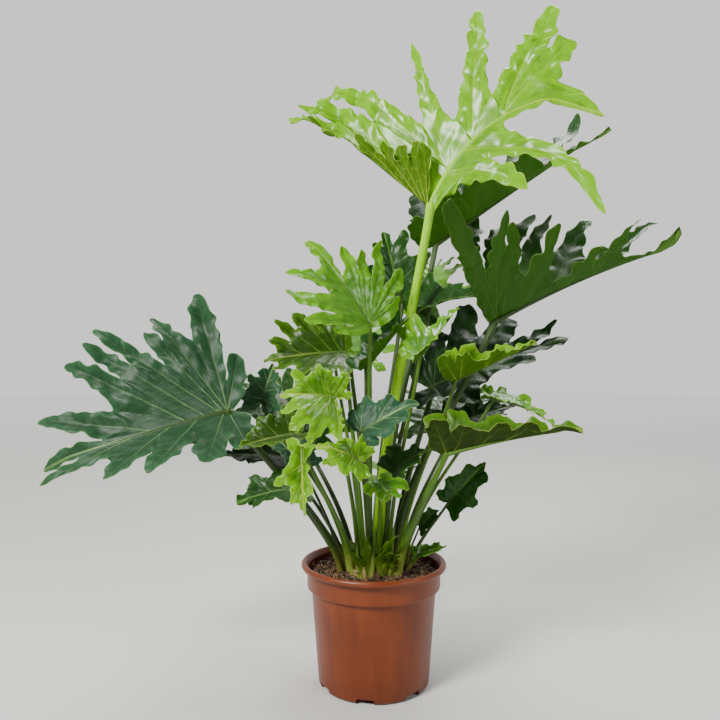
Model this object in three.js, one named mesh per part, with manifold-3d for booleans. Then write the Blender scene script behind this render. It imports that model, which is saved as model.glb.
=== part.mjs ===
// A potted tree philodendron: deeply lobed leaves on long stalks that rise from
// one crown, peat-filled nursery pot. Millimetres, +Z up, front of the plant -Y.
// The pot stands on z = 0 with its axis on the Z axis.
import * as THREE from 'three';
import { mergeVertices } from 'three/addons/utils/BufferGeometryUtils.js';
import Module from 'manifold-3d';

// Pot: a 21 cm moulded nursery pot with a rolled lip, a stepped band and seven
// drainage notches where the wall meets the floor.
const POT_HEIGHT = 174;
const LIP_RADIUS = 105;
const LIP_DEPTH = 8;
const BAND_RADIUS = 96.5;
const BAND_BOTTOM = 138;
const BODY_TOP_RADIUS = 90;
const BASE_RADIUS = 80;
const WALL = 2.2;
const FLOOR = 3;
const POT_SIDES = 32;
const NOTCHES = 7;
const NOTCH_WIDTH = 25;
const NOTCH_HEIGHT = 8;
const NOTCH_FIRST_DEG = -99.5;

// Potting mix: fills the pot to 14 mm below the rim and heaps a little at the crown.
const SOIL_LEVEL = 158;
const SOIL_HEAP = 4;
const SOIL_CLEARANCE = 0.35;
const SOIL_SIDES = 24;
const ROOT_DEPTH = 18;
const HOLE_GAP = 0.6;

// Leaves: blade thickness and crown level in millimetres. The notch, the ruffle and the gap
// kept between lobes are shares of the midrib length, the others of what they shape.
const BLADE = 0.9;
const CROWN_LEVEL = 160;
const BASE_NOTCH = 0.035;
const WAVE = 0.022;
const CLEAR = 0.006;
const PLEAT = 0.12;
const CURL_START = 0.45;
const SWERVE_BASE = 0.15;
const RUFFLE_SLOPE = 0.3;
const TAPER = 0.96;

const COLOURS = {
  lime: 0x8fc43a,
  mid: 0x5f9a3c,
  dark: 0x2f5d33,
  deep: 0x274a30,
  blue: 0x476f55,
  olive: 0x6d8a2e,
  straw: 0xc8b884,
};

// Lobes of one half, from the base to the end of the midrib. Each lobe is
// [root along the midrib, angle to the midrib in degrees, reach, half width, curl, sweep],
// all but the angle in midrib lengths. Curl turns a lobe's tip down and sweep turns it
// sideways, away from the leaf's tip, as shares of its reach. A fan spreads them evenly.
function fan(first, last, reaches, half) {
  const lobes = [];
  const count = reaches.length;
  for (let i = 0; i < count; i += 1) {
    const s = count > 1 ? i / (count - 1) : 0;
    const root = Math.max(0, (s - 0.22) / 0.78) * 0.5;
    lobes.push([root, first + (last - first) * s ** 0.85, reaches[i], half, 0]);
  }
  return lobes;
}

// joint: where stalk and blade meet. tip: end of the midrib. face: the way the
// upper side looks. base: where the stalk leaves the soil. stalk: its radii.
// cut: how far out the bays between lobes lie, as a share of the shorter lobe.
// detail: 3 for the largest blades (two rows and a rib), 2 for middling, 1 for small.
// bend and fold in degrees: the curl from base to tip, and the rise of each half.
// swerve: how far the midrib arches sideways, in midrib lengths.
// flap: where the left half's basal lobes fold over the rest.
const LEAVES = [
  {
    name: 'leaf_top', tone: 'lime', joint: [80, -25, 685], tip: [286, -75, 828],
    face: [-0.1, -0.9, 0.42], base: [4, -2], stalk: [9, 6.5], lean: 0.1,
    bend: 14, fold: 8, arch: 0.04, end: [0.6, 0.045, 0.2, -0.4], detail: 3,
    swerve: 0.17, flap: { angle: 102, turn: 158, radius: 2.5 },
    left: [
      [0, 167, 0.28, 0.07, 0], [0, 146, 0.31, 0.06, -0.05], [0, 128, 0.37, 0.05, -0.05],
      [0, 116, 0.49, 0.05, 0], [0, 108, 0.71, 0.04, 0], [0, 102, 1.28, 0.03, 0, 0.1],
      [0, 95, 1.33, 0.044, 0.05, 0.15], [0.2, 99, 1.25, 0.04, 0.05, 0.15], [0.2, 72, 0.81, 0.042, 0.05],
      [0.39, 56, 0.86, 0.056, 0, 0.05], [0.59, 46, 0.82, 0.058, 0, 0.05], [0.59, 32, 0.64, 0.045, 0, 0.05],
    ],
    right: [[0.15, 48, 0.56, 0.06, 0.05, 0.2], [0.31, 46, 0.84, 0.05, 0.05, 0.4]],
    cutLeft: [0.84, 0.85, 0.85, 0.85, 0.85, 0.74, 0.52, 0.4, 0.24, 0.24, 0.74, 0.86],
    cutRight: [0.42, 0.3],
  },
  {
    name: 'leaf_behind_top', tone: 'dark', joint: [101, 95, 650], tip: [392, 130, 847],
    face: [-0.3, 0.12, 0.94], base: [10, 22], stalk: [6, 4.5], lean: 0.1,
    bend: 2, fold: 46, arch: 0.15, end: [0.6, 0.04, 0], detail: 2,
    left: [
      [0, 66, 0.9, 0.11, 0], [0.05, 59, 0.8, 0.09, 0], [0.2, 55, 0.68, 0.07, 0],
      [0.35, 45, 0.54, 0.05, 0], [0.5, 25, 0.57, 0.045, 0],
    ],
    right: [
      [0, 112, 0.2, 0.06, 0], [0.05, 77, 0.28, 0.09, 0], [0.2, 64, 0.27, 0.06, 0], [0.4, 41, 0.22, 0.05, 0],
    ],
    cutLeft: [0.7, 0.6, 0.6, 0.6, 0.5], cutRight: [0.7, 0.6, 0.6, 0.6],
  },
  {
    name: 'leaf_right_large', tone: 'dark', joint: [176, -10, 523], tip: [468, 30, 638],
    face: [-0.36, -0.02, 0.93], base: [24, -4], stalk: [7, 5], lean: 0.3,
    bend: 12, fold: 50, arch: 0.15, end: [0.62, 0.03, -0.2], detail: 3,
    left: [
      [0, 74, 1.03, 0.06, 0, -0.06], [0, 64, 0.86, 0.048, 0, -0.1], [0.04, 55, 0.73, 0.046, 0, -0.1],
      [0.12, 52, 0.65, 0.046, 0, -0.1], [0.3, 47, 0.53, 0.05, 0, -0.12], [0.5, 27, 0.56, 0.03, 0],
    ],
    right: [
      [0, 99, 0.85, 0.05, 0], [0, 83, 0.6, 0.046, 0, -0.05], [0.03, 76, 0.48, 0.034, 0],
      [0.1, 51, 0.39, 0.05, -0.1, -0.1], [0.34, 40, 0.27, 0.032, 0.1], [0.5, 50, 0.35, 0.032, 0.1],
    ],
    cutLeft: [0.4, 0.42, 0.42, 0.42, 0.4, 0.35], cutRight: [0.34, 0.8, 0.55, 0.42, 0.4, 0.35],
  },
  {
    name: 'leaf_left_large', tone: 'blue', joint: [-209, -20, 392], tip: [-461, -60, 318],
    face: [0.18, -0.8, 0.57], base: [-38, -6], stalk: [7, 5], lean: 0.75,
    bend: 12, fold: 14, arch: 0.08, end: [0.6, 0.055, 0.12], detail: 3,
    left: [
      [0, 101, 0.29, 0.1, 0], [0.02, 64, 0.33, 0.1, 0], [0.16, 43, 0.4, 0.055, 0],
      [0.3, 31, 0.43, 0.045, 0], [0.5, 14, 0.51, 0.03, 0],
    ],
    right: [
      [0, 112, 0.33, 0.08, 0], [0, 89, 0.72, 0.075, 0], [0, 68, 0.73, 0.05, 0],
      [0.02, 62, 0.68, 0.04, 0], [0.04, 50, 0.83, 0.055, 0], [0.12, 48, 0.79, 0.045, 0],
      [0.22, 43, 0.76, 0.05, 0], [0.4, 24, 0.62, 0.06, 0],
    ],
    cutLeft: [0.6, 0.6, 0.6, 0.6, 0.6], cutRight: [0.55, 0.66, 0.8, 0.62, 0.66, 0.62, 0.52, 0.4],
  },
  {
    name: 'leaf_star', tone: 'mid', joint: [-7, -75, 512], tip: [-87, -115, 621],
    face: [0.05, -0.74, 0.66], base: [-6, -20], stalk: [4, 3], lean: 0.1,
    bend: 18, fold: 12, arch: 0.15, end: [0.55, 0.08, 0.1], detail: 2,
    left: [
      [0, 61, 0.5, 0.09, 0], [0, 52, 0.82, 0.08, 0], [0.12, 44, 0.95, 0.085, 0],
      [0.42, 42, 0.66, 0.06, 0.1],
    ],
    right: [
      [0, 95, 0.49, 0.1, 0], [0, 75, 0.73, 0.09, 0], [0, 50, 0.85, 0.08, 0],
      [0.04, 33, 0.68, 0.07, 0], [0.1, 21, 0.7, 0.07, 0],
    ],
    cutLeft: [0.5, 0.5, 0.5, 0.62], cutRight: [0.62, 0.55, 0.62, 0.66, 0.5],
  },
  {
    name: 'leaf_right_low', tone: 'olive', joint: [96, -82, 340], tip: [270, -109, 374],
    face: [-0.05, 0.05, 1], base: [32, -32], stalk: [6, 4], lean: 0.35,
    bend: 10, fold: 58, arch: 0.15, end: [0.58, 0.075, 0], detail: 2,
    left: [
      [0, 96, 0.42, 0.1, 0], [0.05, 74, 0.38, 0.09, 0], [0.25, 55, 0.34, 0.07, 0],
      [0.45, 22, 0.33, 0.05, 0],
    ],
    right: [
      [0, 92, 0.35, 0.11, 0], [0.05, 58, 0.27, 0.09, 0], [0.25, 40, 0.26, 0.07, 0],
      [0.42, 25, 0.28, 0.05, 0],
    ],
    cutLeft: [0.75, 0.75, 0.75, 0.75], cutRight: [0.75, 0.75, 0.75, 0.75],
  },
  {
    name: 'leaf_small_lime', tone: 'lime', joint: [115, -34, 437], tip: [225, -48, 490],
    face: [-0.42, 0, 0.9], base: [33, -19], stalk: [3.5, 2.2], lean: 0.3,
    bend: -5, fold: 48, arch: 0.15, end: [0.58, 0.075, 0], detail: 1,
    left: [[0, 84, 0.57, 0.12, 0], [0.05, 59, 0.6, 0.1, 0], [0.35, 36, 0.41, 0.07, 0]],
    right: [[0, 95, 0.55, 0.12, 0], [0.05, 71, 0.48, 0.1, 0], [0.35, 49, 0.28, 0.07, 0]],
    cutLeft: [0.72, 0.72, 0.72], cutRight: [0.72, 0.72, 0.72],
  },
  {
    name: 'leaf_droop_right', tone: 'mid', joint: [170, -18, 408], tip: [260, -28, 368],
    face: [0.25, -0.2, 0.95], base: [41, 6], stalk: [3.5, 2.2], lean: 0.4,
    bend: 35, fold: 20, arch: 0.15, end: [0.58, 0.075, 0], detail: 1,
    left: fan(115, 32, [0.38, 0.45, 0.4, 0.3], 0.09),
    right: fan(115, 35, [0.35, 0.4, 0.3, 0.22], 0.09),
    cutLeft: [0.72, 0.72, 0.72, 0.72], cutRight: [0.72, 0.72, 0.72, 0.72],
  },
  {
    name: 'leaf_behind_right', tone: 'deep', joint: [93, 60, 425], tip: [310, 85, 500],
    face: [-0.2, -0.65, 0.75], base: [28, 14], stalk: [5.5, 4], lean: 0.3,
    bend: 8, fold: 15, arch: 0.15, end: [0.58, 0.075, 0], detail: 2,
    left: [
      [0, 100, 0.31, 0.1, 0], [0, 62, 0.49, 0.1, 0], [0.05, 49, 0.71, 0.09, 0],
      [0.25, 35, 0.64, 0.09, 0], [0.5, 17, 0.5, 0.05, 0],
    ],
    right: [[0, 130, 0.25, 0.1, 0], [0.1, 80, 0.36, 0.09, 0], [0.3, 22, 0.41, 0.06, 0]],
    cutLeft: [0.7, 0.66, 0.6, 0.55, 0.5], cutRight: [0.7, 0.6, 0.5],
  },
  {
    name: 'leaf_gap_right', tone: 'deep', joint: [127, 60, 365], tip: [227, 80, 394],
    face: [-0.1, -0.6, 0.8], base: [40, 19], stalk: [3.5, 2.5], lean: 0.3,
    bend: 15, fold: 15, arch: 0.15, end: [0.58, 0.075, 0], detail: 1,
    left: fan(120, 35, [0.5, 0.5, 0.4, 0.3], 0.1),
    right: fan(120, 35, [0.45, 0.45, 0.4, 0.3], 0.1),
    cutLeft: [0.72, 0.72, 0.72, 0.72], cutRight: [0.72, 0.72, 0.72, 0.72],
  },
  {
    name: 'leaf_right_lower', tone: 'dark', joint: [115, 30, 255], tip: [167, 20, 313],
    face: [0.2, -0.75, 0.6], base: [50, -2], stalk: [3, 2], lean: 0.5,
    bend: 15, fold: 20, arch: 0.15, end: [0.58, 0.09, 0], detail: 1,
    left: fan(105, 38, [0.3, 0.36, 0.34], 0.12),
    right: fan(115, 38, [0.42, 0.5, 0.42], 0.12),
    cutLeft: [0.8, 0.8, 0.8], cutRight: [0.8, 0.8, 0.8],
  },
  {
    name: 'leaf_sprig', tone: 'dark', joint: [71, 38, 215], tip: [98, 32, 240],
    face: [0.1, -0.8, 0.6], base: [48, 10], stalk: [1.8, 1.3], lean: 0.3,
    bend: 10, fold: 20, arch: 0.15, end: [0.58, 0.1, 0], detail: 1,
    left: fan(105, 48, [0.5, 0.45], 0.14),
    right: fan(105, 48, [0.5, 0.45], 0.14),
    cutLeft: [0.8, 0.8], cutRight: [0.8, 0.8],
  },
  {
    name: 'leaf_rim', tone: 'mid', joint: [62, -12, 184], tip: [104, -24, 199],
    face: [0, -0.5, 0.85], base: [46, -12], stalk: [1.8, 1.3], lean: 0.4,
    bend: 15, fold: 20, arch: 0.15, end: [0.58, 0.1, 0], detail: 1,
    left: fan(105, 48, [0.4, 0.35], 0.13),
    right: fan(105, 48, [0.4, 0.35], 0.13),
    cutLeft: [0.8, 0.8], cutRight: [0.8, 0.8],
  },
  {
    name: 'leaf_fork', tone: 'dark', joint: [24, -62, 313], tip: [72, -82, 346],
    face: [0, -0.7, 0.7], base: [13, -25], stalk: [3, 2], lean: 0.1,
    bend: 15, fold: 20, arch: 0.15, end: [0.58, 0.08, 0], detail: 1,
    left: fan(115, 42, [0.6, 0.6, 0.4], 0.12),
    right: fan(115, 42, [0.5, 0.5, 0.4], 0.12),
    cutLeft: [0.75, 0.75, 0.75], cutRight: [0.75, 0.75, 0.75],
  },
  {
    name: 'leaf_centre_blue', tone: 'blue', joint: [-19, -95, 370], tip: [55, -110, 412],
    face: [-0.1, -0.75, 0.65], base: [-2, -34], stalk: [3, 2], lean: 0.1,
    bend: 15, fold: 12, arch: 0.15, end: [0.6, 0.1, 0.1], detail: 1,
    left: [[0, 96, 0.42, 0.12, 0], [0, 61, 0.61, 0.13, 0], [0.3, 34, 0.48, 0.1, 0]],
    right: [[0, 75, 0.37, 0.13, 0], [0.15, 46, 0.5, 0.13, 0], [0.4, 30, 0.45, 0.09, 0]],
    cutLeft: [0.82, 0.82, 0.82], cutRight: [0.82, 0.82, 0.82],
  },
  {
    name: 'leaf_centre_lime', tone: 'lime', joint: [-24, -148, 343], tip: [-71, -176, 363],
    face: [-0.2, -0.75, 0.62], base: [-14, -34], stalk: [3, 2], lean: 0.1,
    bend: 20, fold: 10, arch: 0.15, end: [0.6, 0.12, 0.1], detail: 1,
    left: [[0, 150, 0.6, 0.13, 0], [0, 90, 0.6, 0.13, 0], [0.1, 58, 0.72, 0.12, 0], [0.4, 42, 0.68, 0.1, 0]],
    right: [[0, 145, 0.6, 0.13, 0], [0, 105, 0.7, 0.12, 0], [0.1, 51, 0.45, 0.13, 0]],
    cutLeft: [0.8, 0.8, 0.8, 0.8], cutRight: [0.8, 0.6, 0.8],
  },
  {
    name: 'leaf_centre_low', tone: 'mid', joint: [6, -92, 306], tip: [18, -112, 284],
    face: [0, -0.72, 0.7], base: [8, -40], stalk: [2.6, 2], lean: 0.2,
    bend: 20, fold: 14, arch: 0.15, end: [0.5, 0.25, 0.1], detail: 1,
    left: [[0, 101, 0.62, 0.25, 0], [0, 54, 1.3, 0.27, 0], [0.4, 35, 0.85, 0.2, 0]],
    right: [[0, 121, 0.5, 0.25, 0], [0, 66, 0.97, 0.27, 0], [0.4, 45, 0.69, 0.2, 0]],
    cutLeft: [0.8, 0.8, 0.8], cutRight: [0.8, 0.8, 0.8],
  },
  {
    name: 'leaf_curled_lime', tone: 'lime', joint: [-54, -110, 416], tip: [-118, -150, 422],
    face: [0.05, -0.8, 0.6], base: [-22, -26], stalk: [3.4, 2.4], lean: 0.15,
    bend: 20, fold: 12, arch: 0.15, end: [0.6, 0.11, 0.1], detail: 1,
    left: [
      [0, 76, 1.05, 0.12, -0.1], [0.08, 56, 1.1, 0.11, 0.1], [0.25, 44, 1.1, 0.12, 0],
      [0.45, 31, 0.73, 0.1, 0],
    ],
    right: [
      [0, 165, 0.42, 0.13, 0], [0, 128, 0.95, 0.12, 0], [0.08, 81, 0.67, 0.14, 0],
      [0.35, 51, 0.59, 0.12, 0],
    ],
    cutLeft: [0.7, 0.75, 0.75, 0.78], cutRight: [0.78, 0.7, 0.78, 0.78],
  },
  {
    name: 'leaf_left_olive', tone: 'olive', joint: [-41, 5, 477], tip: [-160, -5, 463],
    face: [-0.2, -0.82, 0.53], base: [-18, -8], stalk: [4, 3], lean: 0.15,
    bend: 20, fold: 25, arch: 0.15, end: [0.58, 0.075, 0], detail: 2,
    left: [
      [0, 84, 0.5, 0.1, 0], [0.08, 63, 0.66, 0.1, 0], [0.28, 50, 0.59, 0.09, 0],
      [0.5, 32, 0.44, 0.07, 0],
    ],
    right: [
      [0, 91, 0.39, 0.1, 0], [0.05, 62, 0.5, 0.09, 0], [0.15, 51, 0.68, 0.08, 0],
      [0.3, 44, 0.68, 0.07, 0], [0.5, 33, 0.46, 0.07, 0],
    ],
    cutLeft: [0.7, 0.7, 0.7, 0.7], cutRight: [0.7, 0.7, 0.7, 0.7, 0.7],
  },
  {
    name: 'leaf_left_inner', tone: 'olive', joint: [-62, 62, 481], tip: [-96, 56, 524],
    face: [0.1, -0.6, 0.8], base: [-18, 10], stalk: [3.5, 2.5], lean: 0.1,
    bend: 10, fold: 20, arch: 0.15, end: [0.58, 0.1, 0], detail: 1,
    left: fan(130, 35, [0.7, 0.7, 0.6, 0.5], 0.13),
    right: fan(130, 35, [0.8, 0.8, 0.7, 0.5], 0.13),
    cutLeft: [0.76, 0.76, 0.76, 0.76], cutRight: [0.76, 0.76, 0.76, 0.76],
  },
  {
    name: 'leaf_folded', tone: 'dark', joint: [-12, -38, 455], tip: [49, -36, 526],
    face: [-0.5, -0.35, 0.78], base: [-8, -10], stalk: [3.4, 2.4], lean: 0.1,
    bend: -8, fold: 46, arch: 0.15, end: [0.58, 0.08, 0], detail: 1,
    left: fan(110, 40, [0.36, 0.42, 0.35], 0.11),
    right: fan(100, 40, [0.3, 0.42, 0.35], 0.1),
    cutLeft: [0.78, 0.78, 0.78], cutRight: [0.78, 0.78, 0.78],
  },
  {
    name: 'leaf_striped', tone: 'mid', joint: [62, -65, 470], tip: [114, -62, 538],
    face: [-0.6, -0.35, 0.72], base: [21, -15], stalk: [3.4, 2.4], lean: 0.05,
    bend: -6, fold: 32, arch: 0.15, end: [0.58, 0.08, 0], detail: 1,
    left: [
      [0, 108, 0.42, 0.11, 0], [0, 76, 0.78, 0.12, 0], [0.05, 49, 0.72, 0.11, 0],
      [0.35, 27, 0.45, 0.09, 0],
    ],
    right: fan(110, 38, [0.5, 0.45, 0.35], 0.1),
    cutLeft: [0.74, 0.74, 0.74, 0.74], cutRight: [0.74, 0.74, 0.74],
  },
  {
    name: 'leaf_arch', tone: 'dark', joint: [82, 0, 544], tip: [177, -20, 552],
    face: [-0.1, -0.5, 0.85], base: [15, 9], stalk: [4, 3], lean: 0.1,
    bend: 40, fold: 25, arch: 0.15, end: [0.58, 0.075, 0], detail: 1,
    left: fan(125, 40, [0.62, 0.6, 0.4, 0.3], 0.1),
    right: fan(115, 40, [0.3, 0.3, 0.25, 0.2], 0.09),
    cutLeft: [0.7, 0.7, 0.7, 0.7], cutRight: [0.7, 0.7, 0.7, 0.7],
  },
  {
    name: 'leaf_behind_stem', tone: 'dark', joint: [45, 60, 550], tip: [16, 70, 666],
    face: [0, -0.7, 0.7], base: [0, 14], stalk: [4.5, 3.2], lean: 0.1,
    bend: 15, fold: 25, arch: 0.15, end: [0.58, 0.075, 0], detail: 1,
    left: fan(130, 35, [0.5, 0.55, 0.5, 0.4], 0.09),
    right: fan(130, 35, [0.6, 0.62, 0.6, 0.5], 0.09),
    cutLeft: [0.62, 0.62, 0.62, 0.62], cutRight: [0.62, 0.62, 0.62, 0.62],
  },
  {
    name: 'leaf_low_left', tone: 'dark', joint: [-109, -50, 288], tip: [-188, -70, 271],
    face: [-0.1, -0.5, 0.85], base: [-46, -22], stalk: [3, 2], lean: 0.6,
    bend: 20, fold: 18, arch: 0.15, end: [0.6, 0.1, 0.1], detail: 1,
    left: [[0, 100, 0.6, 0.13, 0], [0.15, 72, 0.53, 0.12, 0], [0.45, 52, 0.45, 0.09, 0]],
    right: [[0, 119, 0.33, 0.13, 0], [0.15, 80, 0.44, 0.12, 0], [0.4, 56, 0.48, 0.1, 0]],
    cutLeft: [0.8, 0.8, 0.8], cutRight: [0.8, 0.8, 0.8],
  },
  {
    name: 'leaf_lime_tail', tone: 'lime', joint: [-94, -120, 353], tip: [-90, -145, 270],
    face: [-0.3, -0.85, 0.4], base: [-30, -36], stalk: [2.8, 2], lean: 0.3,
    bend: 10, fold: 24, arch: 0.15, end: [0.6, 0.07, 0.1], detail: 1,
    left: [[0, 80, 0.27, 0.09, 0], [0.4, 34, 0.36, 0.08, 0]],
    right: [[0, 114, 0.27, 0.09, 0], [0.25, 56, 0.53, 0.09, 0], [0.5, 30, 0.38, 0.07, 0]],
    cutLeft: [0.7, 0.7], cutRight: [0.7, 0.7, 0.7],
  },
  {
    name: 'leaf_left_back', tone: 'deep', joint: [-134, 45, 316], tip: [-238, 30, 322],
    face: [0, -0.55, 0.83], base: [-40, 14], stalk: [3.5, 2.5], lean: 0.5,
    bend: 15, fold: 20, arch: 0.15, end: [0.58, 0.075, 0], detail: 1,
    left: fan(125, 35, [0.4, 0.4, 0.35, 0.28], 0.1),
    right: fan(125, 35, [0.4, 0.4, 0.35, 0.28], 0.1),
    cutLeft: [0.8, 0.8, 0.8, 0.8], cutRight: [0.8, 0.8, 0.8, 0.8],
  },
  {
    name: 'leaf_left_mid', tone: 'olive', joint: [-111, -55, 363], tip: [-182, -80, 348],
    face: [-0.15, -0.6, 0.8], base: [-34, -20], stalk: [3.4, 2.4], lean: 0.35,
    bend: 15, fold: 25, arch: 0.15, end: [0.58, 0.08, 0], detail: 1,
    left: fan(125, 35, [0.5, 0.5, 0.45, 0.35], 0.12),
    right: fan(130, 35, [0.55, 0.6, 0.55, 0.4], 0.12),
    cutLeft: [0.8, 0.8, 0.8, 0.8], cutRight: [0.8, 0.8, 0.8, 0.8],
  },
  {
    name: 'leaf_left_blue', tone: 'blue', joint: [-105, 8, 313], tip: [-147, 0, 355],
    face: [0, -0.7, 0.7], base: [-48, 8], stalk: [2.8, 2.2], lean: 0.35,
    bend: 15, fold: 20, arch: 0.15, end: [0.58, 0.1, 0], detail: 1,
    left: fan(125, 42, [0.6, 0.6, 0.5], 0.14),
    right: fan(125, 42, [0.6, 0.6, 0.5], 0.14),
    cutLeft: [0.8, 0.8, 0.8], cutRight: [0.8, 0.8, 0.8],
  },
  {
    name: 'leaf_left_rear', tone: 'blue', joint: [-170, 50, 401], tip: [-152, 50, 459],
    face: [0.1, -0.7, 0.7], base: [-29, 4], stalk: [4, 3], lean: 0.4,
    bend: 10, fold: 20, arch: 0.15, end: [0.58, 0.1, 0], detail: 1,
    left: fan(130, 38, [0.65, 0.7, 0.6, 0.4], 0.13),
    right: fan(130, 38, [0.6, 0.6, 0.5, 0.4], 0.13),
    cutLeft: [0.74, 0.74, 0.74, 0.74], cutRight: [0.74, 0.74, 0.74, 0.74],
  },
  {
    name: 'leaf_back_left', tone: 'dark', joint: [-120, 140, 349], tip: [-181, 230, 444],
    face: [-0.1, -0.2, 0.97], base: [-28, 24], stalk: [4.5, 3.2], lean: 0.4,
    bend: 30, fold: 20, arch: 0.15, end: [0.58, 0.075, 0], detail: 1,
    left: fan(140, 30, [0.62, 0.78, 0.75, 0.62, 0.42], 0.075),
    right: fan(140, 30, [0.62, 0.78, 0.75, 0.62, 0.42], 0.075),
    cutLeft: [0.5, 0.5, 0.5, 0.5, 0.5], cutRight: [0.5, 0.5, 0.5, 0.5, 0.5],
  },
  {
    name: 'leaf_back_mid', tone: 'mid', joint: [-38, 125, 480], tip: [-64, 248, 522],
    face: [0, 0.1, 0.97], base: [-6, 31], stalk: [4.5, 3.2], lean: 0.2,
    bend: 30, fold: 22, arch: 0.15, end: [0.58, 0.075, 0], detail: 1,
    left: fan(140, 30, [0.62, 0.78, 0.75, 0.62, 0.42], 0.075),
    right: fan(140, 30, [0.6, 0.7, 0.72, 0.62, 0.42], 0.075),
    cutLeft: [0.5, 0.5, 0.5, 0.5, 0.5], cutRight: [0.5, 0.5, 0.5, 0.5, 0.5],
  },
  {
    name: 'leaf_back_right', tone: 'dark', joint: [114, 150, 356], tip: [197, 260, 392],
    face: [0.15, 0, 0.97], base: [24, 31], stalk: [4, 3], lean: 0.4,
    bend: 30, fold: 22, arch: 0.15, end: [0.58, 0.075, 0], detail: 1,
    left: fan(140, 30, [0.62, 0.78, 0.75, 0.62, 0.42], 0.075),
    right: fan(140, 30, [0.62, 0.78, 0.75, 0.62, 0.42], 0.075),
    cutLeft: [0.5, 0.5, 0.5, 0.5, 0.5], cutRight: [0.5, 0.5, 0.5, 0.5, 0.5],
  },
  {
    name: 'leaf_back_low', tone: 'mid', joint: [12, 110, 287], tip: [48, 198, 259],
    face: [0.1, -0.1, 0.97], base: [4, 42], stalk: [3.5, 2.5], lean: 0.3,
    bend: 30, fold: 20, arch: 0.15, end: [0.58, 0.08, 0], detail: 1,
    left: fan(120, 32, [0.45, 0.62, 0.6, 0.42], 0.1),
    right: fan(120, 32, [0.45, 0.62, 0.6, 0.42], 0.1),
    cutLeft: [0.6, 0.6, 0.6, 0.6], cutRight: [0.6, 0.6, 0.6, 0.6],
  },
  {
    name: 'leaf_back_high', tone: 'mid', joint: [80, 140, 565], tip: [123, 230, 641],
    face: [-0.1, -0.3, 0.95], base: [12, 34], stalk: [4.5, 3.2], lean: 0.1,
    bend: 25, fold: 22, arch: 0.15, end: [0.58, 0.075, 0], detail: 1,
    left: fan(138, 32, [0.66, 0.8, 0.72, 0.5], 0.085),
    right: fan(138, 32, [0.66, 0.8, 0.72, 0.5], 0.085),
    cutLeft: [0.5, 0.5, 0.5, 0.5], cutRight: [0.5, 0.5, 0.5, 0.5],
  },
];

// Unopened leaves and an old leaf base, standing in the crown: foot on the soil,
// top, radius at the foot and colour.
const SHOOTS = [
  { name: 'shoot_front', tone: 'lime', foot: [-22, -40], top: [-24, -46, 214], radius: 4 },
  { name: 'shoot_middle', tone: 'mid', foot: [-4, -43], top: [2, -52, 236], radius: 3.6 },
  { name: 'shoot_right', tone: 'mid', foot: [21, -36], top: [28, -50, 240], radius: 3.4 },
  { name: 'old_leaf_base', tone: 'straw', foot: [-13, -45], top: [-15, -50, 178], radius: 3.2 },
];

const wasm = await Module();
wasm.setup();

const radians = (degrees) => degrees * Math.PI / 180;
const clamp = (v, low, high) => Math.min(high, Math.max(low, v));
const vector = (a) => new THREE.Vector3(a[0], a[1], a[2]);

// ---------------------------------------------------------------- closed bodies

// Solid for joining and cutting, from a closed geometry.
function solidOf(geometry) {
  geometry.deleteAttribute('normal');
  geometry.deleteAttribute('uv');
  const merged = mergeVertices(geometry, 1e-4);
  const index = merged.getIndex().array;
  const triangles = [];
  for (let i = 0; i < index.length; i += 3) {
    const t = [index[i], index[i + 1], index[i + 2]];
    if (new Set(t).size === 3) {
      triangles.push(...t);
    }
  }
  return new wasm.Manifold(new wasm.Mesh({
    numProp: 3,
    vertProperties: new Float32Array(merged.getAttribute('position').array),
    triVerts: new Uint32Array(triangles),
  }));
}

function solid(points, triangles) {
  const geometry = new THREE.BufferGeometry().setFromPoints(points);
  geometry.setIndex(triangles.flat());
  return solidOf(geometry);
}

// A tube of given radii through a row of points, closed at both ends.
function tube(path, radii, sides) {
  const points = [];
  const triangles = [];
  let side = new THREE.Vector3(1, 0, 0);
  path.forEach((p, i) => {
    const before = path[Math.max(0, i - 1)];
    const after = path[Math.min(path.length - 1, i + 1)];
    const way = after.clone().sub(before).normalize();
    side = side.clone().addScaledVector(way, -side.dot(way)).normalize();
    const other = way.clone().cross(side);
    for (let k = 0; k < sides; k += 1) {
      const a = 2 * Math.PI * k / sides;
      const r = radii[i];
      points.push(p.clone().addScaledVector(side, r * Math.cos(a)).addScaledVector(other, r * Math.sin(a)));
    }
  });
  const start = points.length;
  points.push(path[0].clone());
  points.push(path[path.length - 1].clone());
  const last = (path.length - 1) * sides;
  for (let k = 0; k < sides; k += 1) {
    const n = (k + 1) % sides;
    for (let i = 0; i + 1 < path.length; i += 1) {
      const a = i * sides;
      const b = a + sides;
      triangles.push([a + k, a + n, b + n]);
      triangles.push([a + k, b + n, b + k]);
    }
    triangles.push([start, n, k]);
    triangles.push([start + 1, last + k, last + n]);
  }
  return solid(points, triangles);
}

// A geometry turned about the Z axis. The profile runs from the axis outside round to the axis.
function turned(profile, sides) {
  const points = profile.map(([r, z]) => new THREE.Vector2(r, z));
  return new THREE.LatheGeometry(points, sides).rotateX(Math.PI / 2);
}

// ---------------------------------------------------------------------- leaves

// Local frame of a blade: midrib length, and unit vectors along, across and up.
function bladeFrame(leaf) {
  const origin = vector(leaf.joint);
  const along = vector(leaf.tip).sub(origin);
  const chord = along.length();
  along.divideScalar(chord);
  const bend = radians(leaf.bend);
  const length = chord * (bend / 2) / Math.sin(bend / 2);
  const up = vector(leaf.face);
  up.addScaledVector(along, -up.dot(along)).normalize();
  const across = up.clone().cross(along);
  return { origin, along, across, up, bend, length };
}

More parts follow.
